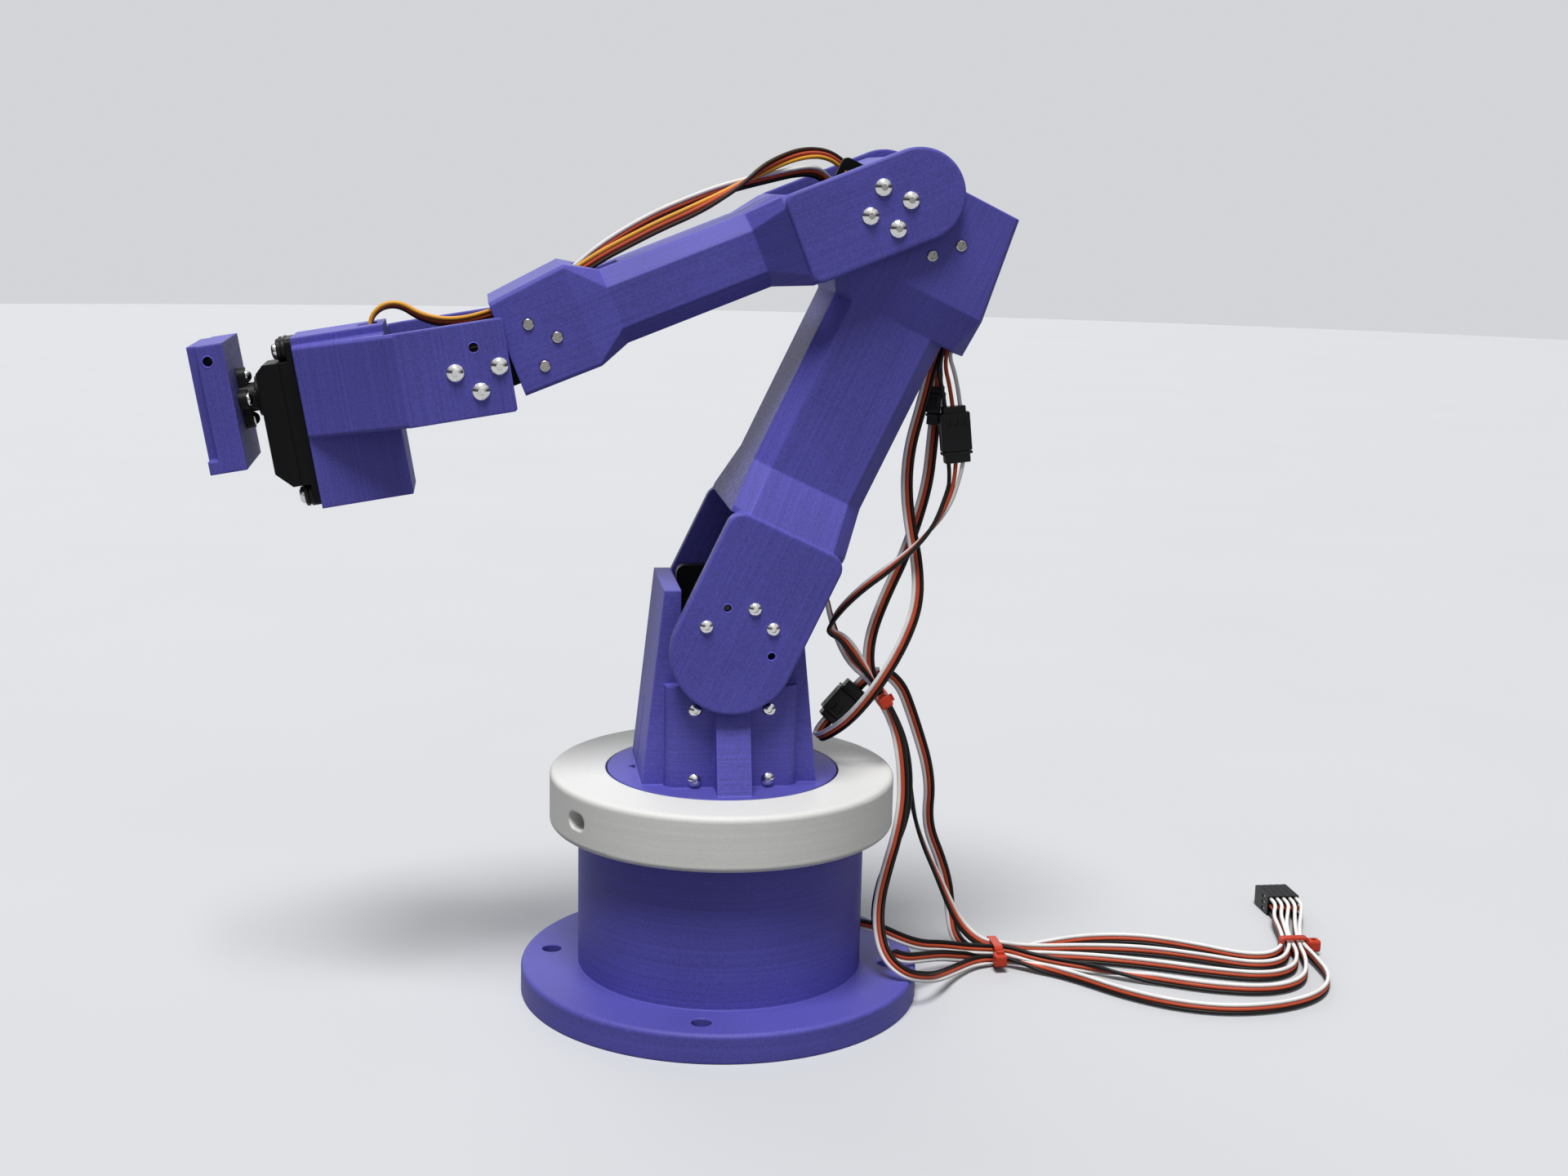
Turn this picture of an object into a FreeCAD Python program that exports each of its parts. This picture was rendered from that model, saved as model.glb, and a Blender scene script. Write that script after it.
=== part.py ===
import FreeCAD, Part
import math
import os

V = FreeCAD.Vector

# Sizes in millimetres, angles in degrees. The origin is the middle of the base's mounting face,
# +Z is up, and the arm reaches towards -X in the plane Y = 0.

# Base: a bolted flange with an upright drum
flange_d = 140.0
flange_t = 10.0
flange_edge_r = 1.6
drum_d = 100.0
drum_wall = 5.0
drum_top_z = 61.0
bolt_pcd = (flange_d + drum_d) / 2
bolt_hole_d = 7.0
bolt_count = 4
bolt_turn = -12.0
lead_hole_w = 6.0
lead_hole_h = 13.0
lead_hole_z = 24.0
lead_hole_turn = -8.0

# Slew bearing between drum and turntable
ring_d = 120.0
ring_h = 19.0
ring_bore_d = 81.5
ring_edge_r = 2.0
spigot_h = 3.0
ball_d = 6.0
ball_count = 30
port_w = 9.5
port_turn = -150.6
turntable_d = 80.0
turntable_t = 16.0

# Hobby servo, used at every joint
servo_len = 40.4
servo_w = 20.0
servo_h = 40.2
servo_shaft_in = 10.2
servo_ear_z = 27.0
servo_ear_t = 2.6
servo_ear_len = 7.2
servo_ear_hole_in = 3.6
servo_ear_pitch = 10.0
servo_ear_r = 2.0
servo_boss_d = 13.0
servo_boss_h = 1.5
servo_nose_cut = 2.5
servo_tail_cut = 5.0
shaft_d = 5.9
shaft_sink = 3.0
horn_gap = 0.4
horn_hub_d = 9.5
horn_hub_h = 2.2
horn_t = 2.8
horn_d = 20.0
horn_pcd = 14.0
horn_arm_w = 6.0
wide_horn_d = 30.0
wide_horn_pcd = 24.0

# Screws
m3_d = 3.0
m3_head_d = 5.7
m3_head_h = 1.8
m25_d = 2.5
m25_head_d = 4.5
m25_head_h = 1.5
low_head_d = 4.3
low_head_h = 1.8
pan_d = 2.0
pan_head_d = 3.7
pan_head_h = 1.4
pan_head_proud = 0.6
head_rim_share = 0.25
socket_share = 0.36
socket_depth_share = 0.55
cross_share = 0.36
cross_thin_share = 0.11
hole_rim = 0.45

# Shoulder bracket on the turntable
bracket_room = 7.4
bracket_foot_x = 29.9
bracket_top_x = 22.8
bracket_wall = 5.6
bracket_h = 67.0
front_wall_t = 4.0
front_wall_h = 38.0
pad_half_x = 22.5
pad_t = 5.0
pad_h = 35.0
pad_r = 4.5
rib_half_x = 5.8
rib_foot = 16.0
ledge_t = 5.5
bracket_screw_x = 12.4
bracket_screw_z = (2.8, 27.0)
back_plate_t = 4.0
back_plate_half_x = 14.8
back_plate_top = 15.8
back_plate_r = 3.0
back_plate_foot = 1.5
slot_y = 1.5
slot_w = 1.6
slot_h = 25.5
lead_notch = 5.0
lead_chute_half = 7.0

# Shoulder joint and upper arm, drawn along the arm from the shoulder axis
shoulder_x = 1.0
shoulder_z = 132.0
upper_heading = 64.7
fork_half = 33.0
plate_t = 4.6
fork_gap = fork_half - plate_t
joint_gap = 1.0
servo_back_room = 9.7
plate_edge_r = 0.9
upper_plate_half = 20.9
upper_end_back = 4.4
upper_plate_len = 39.5
upper_slope_len = 16.2
beam_half = 23.0
beam_cut = 5.5
crotch_in = 2.0
upper_crotch = upper_plate_len - crotch_in
upper_beam_half = 20.0
shell_wall = 3.0
elbow_s = 147.9
elbow_n = 18.6
housing_half = fork_gap - joint_gap
housing_wall = 3.5
housing_above = 16.0
housing_below = 18.8
housing_flare = 12.6
housing_right_low = 46.6
housing_right_high = 41.0
housing_left_cut = 7.0

# Elbow joint and forearm, drawn along the forearm from the elbow axis
forearm_heading = 202.0
wrist_s = 141.6
fore_plate_half = 15.0
fore_plate_rise = 0.6
fore_end_back = 10.5
fore_plate_len = 31.5
fore_plate_corner = 3.5
fore_crotch = fore_plate_len - crotch_in
fore_slope_len = 11.7
fore_beam_top = 14.2
fore_beam_low = 10.8
fore_beam_end = 48.1
sleeve_start = 37.3
sleeve_end = 11.0
sleeve_wall = 3.5
sleeve_top = 20.7
sleeve_top_end = 17.9
sleeve_low = 13.8
sleeve_edge_cut = 1.0

# Wrist joint and bracket, drawn along the bracket from the wrist axis
wrist_heading = 189.6
wrist_fork_half = 31.0
wrist_plate_t = 3.5
wrist_gap = wrist_fork_half - wrist_plate_t
wrist_joint_gap = 0.5
sleeve_half = wrist_gap - wrist_joint_gap
wrist_plate_half = 15.0
wrist_plate_back = 10.4
wrist_plate_len = 24.0
wrist_box_back = 27.6
wrist_box_front = 57.2
wrist_box_half = 14.0
wrist_box_margin = 0.7
wrist_box_top = 0.3
wrist_corner_r = 1.2
lead_slot_len = 6.0
lead_slot_half = 4.5

# Tool plate, drawn along the roll axis
tool_half_y = 21.5
tool_top = 20.0
tool_low = 20.8
tool_t = 8.3
tongue_t = 3.3
tongue_half_y = 17.9
tool_ledge = 4.3
pin_hole_d = 3.2
pin_hole_s = 5.4
pin_hole_n = 14.8

# Servo clamps inside the elbow housing and the wrist sleeve
clamp_d = 19.4
clamp_back = 20.2
clamp_pcd = 14.2

# Idlers opposite the servos
idler_d = 5.0
idler_bearing_d = 10.0
idler_bearing_w = 3.6
idler_head_d = 8.4
idler_head_h = 2.6
idler_lug_r = 8.0

# Screw circles, as turns from a link's X axis
quarters = (0, 90, 180, 270)
upper_holes = (90, 45, 0, -45, -90)
upper_screws_at = (90, 0, -45)
wrist_screws_at = (0, 180, 90)

# Leads: flat three-wire ribbons drawn as round tubes, routes as points (x, y, z).
# Routes named _u follow the upper arm's frame, _f the forearm's, all others the world's.
lead_d = 2.4
arc_share = 0.45
bundle_y = (-3.6, 0.0, 3.6)
bundle_at = (55.5, 104.8)
bundle_run = (0.5, -0.866)
roll_wrist_f = [
    (171.5, 3, -17.6), (170, 3, -24.4), (164.5, 3, -28), (158, 3, -26.7), (153.1, 3, -19.8), (144, 3, -14.2),
    (131, 3, -12.4), (119, 3, -12.4),
]
roll_forearm_f = [
    (104, 3, -12.4), (91, 3, -15.8), (76, 3, -17.2), (60, 3, -16.4), (46, 3, -17.8), (33, 3.5, -21.5),
    (18.8, 7, -25.2), (8.2, 14, -23.5), (1.3, 20.6, -16.5),
]
elbow_lead_in = 7.1
elbow_lead_y = fork_gap - elbow_lead_in
roll_forearm_u = [(154.4, elbow_lead_y, 23.2), (149.2, elbow_lead_y, 18.2)]
wrist_forearm_f = [
    (113, -3, -12.8), (103, -3, -12.2), (90, -3.2, -15.8), (75, -3, -16.8), (59, -2.5, -16.2),
    (45, -2, -17), (33, -1.5, -19.3), (20.5, 3.5, -20), (11, 12.5, -16),
]
wrist_forearm_u = [(147.5, elbow_lead_y - 0.8, 31), (146.5, elbow_lead_y, 21.6)]
roll_hang_u = [(126, 0, -23.4), (114, 0, -23.2)]
roll_hang = [
    (67, 0, 208), (63, 0, 193), (62, -1, 179), (63.5, -3, 165.5), (66, -6, 152.5), (66, -9, 140),
    (62, -11, 128.5), (56, -11.5, 117), (49.5, -11, 107), (43, -6.5, 97.5), (37.6, 2.4, 90.4),
    (34.8, 9.2, 87.2),
]
wrist_hang_u = [(125, -4, -24.4), (114, -4, -25)]
wrist_hang = [
    (76.4, -4, 211.2), (79.4, -4.3, 184.2), (74, -7, 170.5), (65.5, -9.5, 160.5), (56, -9.5, 152.5),
    (46.5, -8, 145), (39.5, -6, 135), (36.8, -4, 123.5), (45.5, -3.8, 115.5),
]
elbow_hang_u = [(124.5, 4, -23.8), (114, 4, -24.5)]
elbow_hang = [
    (73, 4, 213), (71.8, 4, 193.5), (70.5, 3, 180), (67, 2, 167), (62.3, 1.2, 153.5), (56.5, 0.5, 141),
    (51.8, 0, 128.5), (50.6, 0, 118.4),
]
shoulder_route = [
    (2, 14, 144.2), (9, 13.5, 150.5), (19, 11.5, 153.5), (29.5, 10.5, 150), (36.5, 10, 140.5),
    (39.3, 9.5, 129), (42.5, 7.5, 120.5), (46.5, 5, 114.5),
]
wrist_floor = [
    (62.5, -4.2, 89.5), (64.8, -5, 79), (65, -6.2, 68), (63.2, -9, 57.5), (60, -13.5, 47.5),
    (57, -18, 38), (56, -23.2, 28.5), (58.5, -28.5, 19.5), (65.5, -29.5, 13), (74, -22.5, 9),
    (80.5, -12.5, 6), (86.5, -2.5, 3.5), (93.5, 3.6, 2.5), (100, 6.2, 2.5), (107, 6.3, 2.5),
    (118, -1.5, 1.6), (129.5, -13, 1.6), (141, -28, 1.6), (156, -40.5, 1.6), (174, -47, 1.6),
    (194, -45.5, 1.6), (211, -37, 1.6), (221, -22, 1.6), (224, -5, 2), (225, 9, 2.5),
    (228.5, 23, 2.8), (233.6, 37.5, 3.6),
]
elbow_floor = [
    (64, 0.3, 89.5), (67.5, 0.8, 78.5), (68.2, 0.2, 67), (66.5, -2.5, 55.5), (63.5, -6.8, 45),
    (61.2, -11.5, 34.5), (61.5, -16.5, 25), (66, -20, 17.5), (72, -17, 11.5), (77.5, -10.5, 8.5),
    (82.5, -3, 6), (88.5, 4.5, 4), (94.5, 8.3, 3), (100.5, 10, 2.5), (108, 10.1, 2.5), (121, 9.3, 1.6),
    (141, 5, 1.6), (160, -2.5, 1.6), (179, -12, 1.6), (197, -18.5, 1.6), (210, -13.5, 1.6),
    (216.5, -1, 2.4), (219, 12, 2.5), (223.2, 25, 2.8), (228, 37.5, 3.6),
]
shoulder_floor = [
    (63.5, 5.5, 90), (67.2, 7.3, 79), (69.5, 9, 67.5), (72, 11.2, 55.5), (76.5, 13.3, 44), (82, 15, 33),
    (87, 16, 22), (92, 16, 12.5), (99, 12.9, 6.6), (106, 11.9, 5.7), (118.5, 14.5, 2.8),
    (140, 15.5, 1.6), (161, 12, 1.6), (181, 2, 1.6), (197, -8, 1.6), (209, -6, 2.5), (215.8, 5, 5.7),
    (220.5, 21, 5.2), (225, 37.3, 4.2),
]
roll_floor = [
    (53.9, 14, 109.2), (60.3, 14.2, 110.2), (66.2, 14.5, 106.4), (70.3, 14.5, 98.4), (73.6, 14.3, 87.5),
    (76.3, 14.6, 76), (77.8, 16.5, 65), (78, 19, 56), (80, 21.5, 47.5), (85, 24.5, 36.5), (89, 27, 25),
    (90.5, 28, 14), (91.5, 24, 5.5),
    (95, 17.5, 2.6), (100.3, 13.9, 2.5), (107.3, 13.8, 2.5), (120, 18, 1.6), (141, 25.5, 1.6),
    (163, 24.5, 1.6), (182, 13, 1.6), (196, 1.5, 1.6), (207, 0.5, 1.6), (214, 8, 2.5), (218, 22, 2.7),
    (222, 37.2, 3.6),
]
base_route = [
    (43, -6, 24), (54, -7.5, 22.5), (64, -6.5, 17), (73, -1, 12), (82, 4.5, 9.5), (91.5, 7.5, 7),
    (100, 8.4, 5.9), (107.5, 8.2, 5.6), (119, 4.5, 2.7), (137, -5, 1.6), (156, -16, 1.6), (175, -26.5, 1.6),
    (195, -31, 1.6), (210, -24, 1.6), (218, -10, 3.2), (221.3, 6, 5.7), (226, 22, 5.2), (230.9, 37.4, 4.2),
]

# Connectors and cable ties
plug_count = 5
plug_t = 2.5
plug_len = 14.0
plug_h = 7.8
plug_gap = 0.1
plug_y = 50.0
plug_x = 226.0
joint_w = 10.4
joint_t = 5.0
joint_len = 19.5
joint_small_len = 13.0
joint_low_len = 16.0
joint_low_at = (39.5, 14.0, 92.6)
joint_low_turn = 49.1
joint_low_in = 4.5
tie_t = 0.9
tie_w = 3.6
tie_room = 0.35
tie_head = 4.6
lead_in = 6.5
plug_in = 6.0
floor_tie_y = (6.3, 13.9)
floor_tie_z = (2.5, 6.1)
second_tie_x = (212.3, 225.0)
first_tie_x = 103.6
second_tie_y = 8.0

# Clearances
fit = 0.06
loose = 0.3
ball_clear = 0.08


def box(x, y, z):
    """Box between the low and high value of each pair."""
    return Part.makeBox(x[1] - x[0], y[1] - y[0], z[1] - z[0], V(x[0], y[0], z[0]))


def rod(radius, start, end):
    """Cylinder from one point to another."""
    axis = end.sub(start)
    return Part.makeCylinder(radius, axis.Length, start, axis)


def prism(points, y):
    """Outline in the XZ plane, carried from the low to the high Y of the pair."""
    corners = [V(px, y[0], pz) for px, pz in points]
    face = Part.Face(Part.makePolygon(corners + corners[:1]))
    return face.extrude(V(0, y[1] - y[0], 0))


def section(x, half, z, cut):
    """Rectangular outline across a link at x, with its corners cut off."""
    low, high = z
    corners = [
        (half - cut, low), (half, low + cut), (half, high - cut), (half - cut, high),
        (cut - half, high), (-half, high - cut), (-half, low + cut), (cut - half, low),
    ]
    points = [V(x, py, pz) for py, pz in corners]
    return Part.makePolygon(points + points[:1])


def skin(*sections):
    """Flat-sided solid through outlines in turn."""
    return Part.makeLoft(list(sections), True, True)


def join(shapes):
    """One solid out of several that touch."""
    return shapes[0].fuse(shapes[1:]).removeSplitter()


def cut(shape, tools):
    """Shape with every tool taken out of it."""
    return shape.cut(tools).removeSplitter()


def polar(radius, turn, z):
    """Point on a circle about the Z axis."""
    angle = math.radians(turn)
    return V(radius * math.cos(angle), radius * math.sin(angle), z)


def aimed(z_axis, x_axis, origin):
    """Placement with the given Z and X directions."""
    turn = FreeCAD.Rotation(x_axis, z_axis.cross(x_axis), z_axis, "ZXY")
    return FreeCAD.Placement(origin, turn)


def link_frame(origin, heading):
    """Placement of a link: X along it, Y across it, origin on its joint axis."""
    return FreeCAD.Placement(origin, FreeCAD.Rotation(V(0, 1, 0), -heading))


def placed(shape, *frames):
    """Copy of a shape carried through placements, the outermost first."""
    whole = FreeCAD.Placement()
    for frame in frames:
        whole = whole.multiply(frame)
    return shape.transformed(whole.toMatrix())


def group(shapes):
    """Separate solids kept together in one file."""
    return Part.makeCompound(shapes)


DOWN_ROLE = (V(0, -1, 0), V(0, 0, -1))
BACK_ROLE = (V(0, -1, 0), V(-1, 0, 0))

horn_hub_z = servo_boss_h + horn_gap
horn_face_z = horn_hub_z + horn_hub_h + horn_t
servo_ear_top = servo_h - servo_ear_z - servo_ear_t
joint_servo_h = 2 * fork_gap - horn_face_z - servo_back_room
bracket_half_y = fork_gap - bracket_room
ring_top_z = drum_top_z + ring_h
rib_bend_z = shoulder_z - upper_end_back - upper_plate_half - loose
turntable_low_z = ring_top_z - turntable_t
race_z = ring_top_z - ring_h / 2
race_r = (ring_bore_d + turntable_d) / 4
groove_r = ball_d / 2 + ball_clear

shoulder = link_frame(V(shoulder_x, 0, shoulder_z), upper_heading)
elbow_origin = shoulder.multVec(V(elbow_s, 0, elbow_n))
elbow = link_frame(elbow_origin, forearm_heading)
wrist_origin = elbow.multVec(V(wrist_s, 0, 0))
wrist = link_frame(wrist_origin, wrist_heading)

base_servo_at = aimed(V(0, 0, 1), V(-1, 0, 0), V(0, 0, turntable_low_z - horn_face_z))
shoulder_servo_at = aimed(*DOWN_ROLE, V(shoulder_x, horn_face_z - fork_gap, shoulder_z))
elbow_servo_at = aimed(*DOWN_ROLE, V(elbow_s, horn_face_z - fork_gap, elbow_n))
wrist_servo_at = aimed(*BACK_ROLE, V(wrist_s, horn_face_z - wrist_gap, 0))
roll_face_s = wrist_box_front + servo_h - servo_ear_z
roll_servo_at = aimed(V(1, 0, 0), V(0, 0, 1), V(roll_face_s, 0, 0))
tool_s = roll_face_s + horn_face_z


def servo_case(height=servo_h):
    """Servo with its output face at z = 0 and its shaft bore on the Z axis."""
    nose = -servo_shaft_in
    tail = servo_len - servo_shaft_in
    half = servo_w / 2
    side = [
        (nose, -height), (tail, -height), (tail, -servo_tail_cut),
        (tail - servo_tail_cut, 0), (nose + servo_nose_cut, 0), (nose, -servo_nose_cut),
    ]
    ears = box(
        (nose - servo_ear_len, tail + servo_ear_len), (-half, half),
        (-servo_ear_top - servo_ear_t, -servo_ear_top),
    )
    corners = [edge for edge in ears.Edges if abs(edge.Vertexes[0].Z - edge.Vertexes[1].Z) > servo_ear_t / 2]
    ears = ears.makeFillet(servo_ear_r, corners)
    boss = rod(servo_boss_d / 2, V(0, 0, -servo_boss_h), V(0, 0, servo_boss_h))
    bore = rod(shaft_d / 2 + fit, V(0, 0, -shaft_sink), V(0, 0, 2 * servo_boss_h))
    holes = [
        rod(m3_d / 2 + fit, V(ex, ey, -height), V(ex, ey, 0))
        for ex, ey in ear_holes()
    ]
    return cut(join([prism(side, (-half, half)), ears, boss]), [bore] + holes)


def ear_holes():
    """Where the four ear screws of a servo stand."""
    nose = -servo_shaft_in - servo_ear_hole_in
    tail = servo_len - servo_shaft_in + servo_ear_hole_in
    half = servo_ear_pitch / 2
    return [(nose, -half), (nose, half), (tail, -half), (tail, half)]


def servo_shaft():
    """Output shaft of a servo, in the servo's placement."""
    return rod(shaft_d / 2, V(0, 0, fit - shaft_sink), V(0, 0, horn_face_z - loose))


def horn(disc_d, pcd, screw_d, turns):
    """Disc horn in the servo's placement, its bolting face up."""
    low = horn_hub_z + horn_hub_h
    hub = rod(horn_hub_d / 2, V(0, 0, horn_hub_z), V(0, 0, horn_face_z))
    disc = rod(disc_d / 2, V(0, 0, low), V(0, 0, horn_face_z))
    bore = rod(shaft_d / 2 + fit, V(0, 0, 0), V(0, 0, 2 * horn_face_z))
    holes = [
        rod(screw_d / 2 + fit, polar(pcd / 2, turn, 0), polar(pcd / 2, turn, 2 * horn_face_z))
        for turn in turns
    ]
    return cut(join([hub, disc]), [bore] + holes)


def cross_horn():
    """Four-armed horn in the servo's placement, its bolting face up."""
    low = horn_hub_z + horn_hub_h
    reach = horn_pcd / 2
    half = horn_arm_w / 2
    arms = [box((-reach, reach), (-half, half), (low, horn_face_z)),
            box((-half, half), (-reach, reach), (low, horn_face_z))]
    tips = [rod(half, polar(reach, turn, low), polar(reach, turn, horn_face_z)) for turn in quarters]
    hub = rod(horn_hub_d / 2, V(0, 0, horn_hub_z), V(0, 0, horn_face_z))
    bore = rod(shaft_d / 2 + fit, V(0, 0, 0), V(0, 0, 2 * horn_face_z))
    holes = [
        rod(m3_d / 2 + fit, polar(reach, turn, 0), polar(reach, turn, 2 * horn_face_z))
        for turn in quarters
    ]
    return cut(join([hub] + arms + tips), [bore] + holes)


def button_screw(d, head_d, head_h, length):
    """Button-head socket screw with its seat at z = 0 and its shank below."""
    cap = head_h * (1 - head_rim_share)
    rise = ((head_d / 2) ** 2 + cap ** 2) / (2 * cap)
    dome = Part.makeSphere(rise, V(0, 0, head_h - rise))
    head = dome.common(rod(head_d / 2, V(0, 0, 0), V(0, 0, head_h)))
    shank = rod(d / 2, V(0, 0, -length), V(0, 0, 0))
    reach = socket_share * head_d / math.sqrt(3)
    hexagon = [polar(reach, 60 * k, head_h * (1 - socket_depth_share)) for k in range(6)]
    socket = Part.Face(Part.makePolygon(hexagon + hexagon[:1])).extrude(V(0, 0, head_h))
    return cut(join([head, shank]), [socket])


def pan_screw(length):
    """Small cross-head screw with its seat at z = 0 and its shank below."""
    head = rod(pan_head_d / 2, V(0, 0, 0), V(0, 0, pan_head_h))
    rim = [edge for edge in head.Edges if edge.Vertexes[0].Z > pan_head_h / 2]
    head = head.makeFillet(pan_head_h / 3, rim[:1])
    shank = rod(pan_d / 2, V(0, 0, -length), V(0, 0, 0))
    wide = pan_head_d * cross_share
    thin = pan_head_d * cross_thin_share
    low = pan_head_h * socket_depth_share
    cross = [
        box((-wide, wide), (-thin, thin), (low, 2 * pan_head_h)),
        box((-thin, thin), (-wide, wide), (low, 2 * pan_head_h)),
    ]
    return cut(join([head, shank]), cross)


def idler_bolt(grip):
    """Shoulder bolt of an idler: its head on +Y of a plate whose outer face is y = 0."""
    head = rod(idler_head_d / 2, V(0, 0, 0), V(0, idler_head_h, 0))
    return join([head, rod(idler_d / 2, V(0, -grip, 0), V(0, 0, 0))])


def idler_bearing():
    """Plain bearing ring with its outer face at y = 0."""
    inner = rod(idler_d / 2 + fit, V(0, -2 * idler_bearing_w, 0), V(0, idler_bearing_w, 0))
    return cut(rod(idler_bearing_d / 2, V(0, -idler_bearing_w, 0), V(0, 0, 0)), [inner])


def outer_rim(shape, y):
    """Edges of a plate's face at height y."""
    return [
        edge for edge in shape.Edges
        if all(abs(vertex.Y - y) < 1e-6 for vertex in edge.Vertexes)
    ]


def fork_plate(outer, thick, end_back, half, middle, length, corner):
    """Fork plate with a round end, its rim softened; outer carries the side's sign."""
    sign = math.copysign(1, outer)
    y = sorted((outer, outer - sign * thick))
    strip = box((-end_back, length), y, (middle - half, middle + half))
    upright = [
        edge for edge in strip.Edges
        if abs(edge.Vertexes[0].X - length) < 1e-6 and abs(edge.Vertexes[1].X - length) < 1e-6
        and abs(edge.Vertexes[0].Z - edge.Vertexes[1].Z) < 1e-6
    ]
    strip = strip.makeFillet(corner, upright)
    round_end = rod(half, V(-end_back, y[0], middle), V(-end_back, y[1], middle))
    plate = join([strip, round_end])
    return plate.makeFillet(plate_edge_r, outer_rim(plate, outer))


def fork_holes(pcd, d, turns, outer, thick):
    """Drills with softened rims for horn screws through the near plate of a fork."""
    out = []
    for turn in turns:
        angle = math.radians(turn)
        hx = pcd / 2 * math.cos(angle)
        hz = pcd / 2 * math.sin(angle)
        bore = d / 2 + fit
        out.append(rod(bore, V(hx, -outer - thick, hz), V(hx, -outer + 2 * thick, hz)))
        out.append(Part.makeCone(bore + hole_rim, bore, hole_rim, V(hx, -outer, hz), V(0, 1, 0)))
    return out


def fork_screws(pcd, screw, turns, outer):
    """Screws standing on the near plate of a fork, heads towards -Y."""
    out = []
    for turn in turns:
        angle = math.radians(turn)
        seat = V(pcd / 2 * math.cos(angle), -outer, pcd / 2 * math.sin(angle))
        out.append(placed(screw, aimed(V(0, -1, 0), V(1, 0, 0), seat)))
    return out


def base_housing():
    """Flange, hollow drum and the two posts that carry the base servo's ears."""
    flange = rod(flange_d / 2, V(0, 0, 0), V(0, 0, flange_t))
    rim = [edge for edge in flange.Edges if edge.Vertexes[0].Z > flange_t / 2]
    flange = flange.makeFillet(flange_edge_r, rim[:1])
    drum = rod(drum_d / 2, V(0, 0, 0), V(0, 0, drum_top_z))
    room = rod(drum_d / 2 - drum_wall, V(0, 0, flange_t), V(0, 0, 2 * drum_top_z))
    holes = []
    for k in range(bolt_count):
        turn = bolt_turn + 360 * k / bolt_count
        low = polar(bolt_pcd / 2, turn, -flange_t)
        holes.append(rod(bolt_hole_d / 2, low, polar(bolt_pcd / 2, turn, 2 * flange_t)))
    slot = box(
        (drum_d / 2 - 2 * drum_wall, drum_d), (-lead_hole_w / 2, lead_hole_w / 2),
        (lead_hole_z - lead_hole_h / 2, lead_hole_z + lead_hole_h / 2),
    )
    slot.rotate(V(0, 0, 0), V(0, 0, 1), lead_hole_turn)
    shell = cut(join([flange, drum]), [room, slot] + holes)
    face_z = turntable_low_z - horn_face_z
    ear_low = face_z - servo_h + servo_ear_z
    half = servo_w / 2
    nose = (servo_shaft_in + loose, servo_shaft_in + servo_ear_len)
    tail = (servo_shaft_in - servo_len - servo_ear_len, servo_shaft_in - servo_len - loose)
    posts = [box(span, (-half, half), (flange_t, ear_low)) for span in (nose, tail)]
    pilots = [
        rod(m3_d / 2 + fit, V(-ex, -ey, ear_low - 3 * m3_d), V(-ex, -ey, drum_top_z))
        for ex, ey in ear_holes()
    ]
    return cut(join([shell] + posts), pilots)


def race():
    """Ball track shared by ring and turntable."""
    return Part.makeTorus(race_r, groove_r, V(0, 0, race_z))


def bearing_ring():
    """Outer bearing ring with its ball-loading port and the spigot that drops into the drum."""
    ring = rod(ring_d / 2, V(0, 0, drum_top_z), V(0, 0, ring_top_z))
    rims = [edge for edge in ring.Edges if len(edge.Vertexes) == 1]
    ring = ring.makeFillet(ring_edge_r, rims)
    spigot_r = drum_d / 2 - drum_wall - loose
    spigot = rod(spigot_r, V(0, 0, drum_top_z - spigot_h), V(0, 0, drum_top_z))
    bore = rod(ring_bore_d / 2, V(0, 0, 0), V(0, 0, 2 * ring_top_z))
    port_h = 2 * groove_r
    flat = port_w / 2 - groove_r
    port = join([
        box((race_r, ring_d), (-flat, flat), (race_z - port_h / 2, race_z + port_h / 2)),
        rod(groove_r, V(race_r, -flat, race_z), V(ring_d, -flat, race_z)),
        rod(groove_r, V(race_r, flat, race_z), V(ring_d, flat, race_z)),
    ])
    port.rotate(V(0, 0, 0), V(0, 0, 1), port_turn)
    return cut(join([ring, spigot]), [bore, race(), port])


def bearing_balls():
    """Balls spread round the track."""
    return group([
        Part.makeSphere(ball_d / 2, polar(race_r, 360 * k / ball_count, race_z))
        for k in range(ball_count)
    ])


def bracket_wall_side(sign):
    """One side wall of the shoulder bracket: upright inside, leaning outside."""
    top = ring_top_z + bracket_h
    outline = [
        (sign * bracket_foot_x, ring_top_z), (sign * bracket_top_x, top),
        (sign * (bracket_top_x - bracket_wall), top),
        (sign * (bracket_top_x - bracket_wall), ring_top_z),
    ]
    return prism(outline, (-bracket_half_y, bracket_half_y))


def bracket_pad():
    """Thick front pad, rounded at both upright edges, with a sloping rib in its middle."""
    y = (-bracket_half_y - pad_t, -bracket_half_y)
    pad = box((-pad_half_x, pad_half_x), y, (ring_top_z, ring_top_z + pad_h))
    upright = [
        edge for edge in pad.Edges
        if abs(edge.Vertexes[0].Z - edge.Vertexes[1].Z) > 1 and edge.Vertexes[0].Y < y[0] + 1
    ]
    pad = pad.makeFillet(pad_r, upright)
    side = [
        (y[1], ring_top_z), (y[1] - rib_foot, ring_top_z), (loose - fork_gap, rib_bend_z),
        (loose - fork_gap, ring_top_z + pad_h), (y[1], ring_top_z + pad_h),
    ]
    corners = [V(-rib_half_x, ry, rz) for ry, rz in side]
    rib = Part.Face(Part.makePolygon(corners + corners[:1])).extrude(V(2 * rib_half_x, 0, 0))
    return [pad, rib]


def bracket_bolts():
    """Foot points of the four bracket screws, as (x, z)."""
    return [(sx * bracket_screw_x, ring_top_z + dz) for sx in (-1, 1) for dz in bracket_screw_z]


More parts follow.
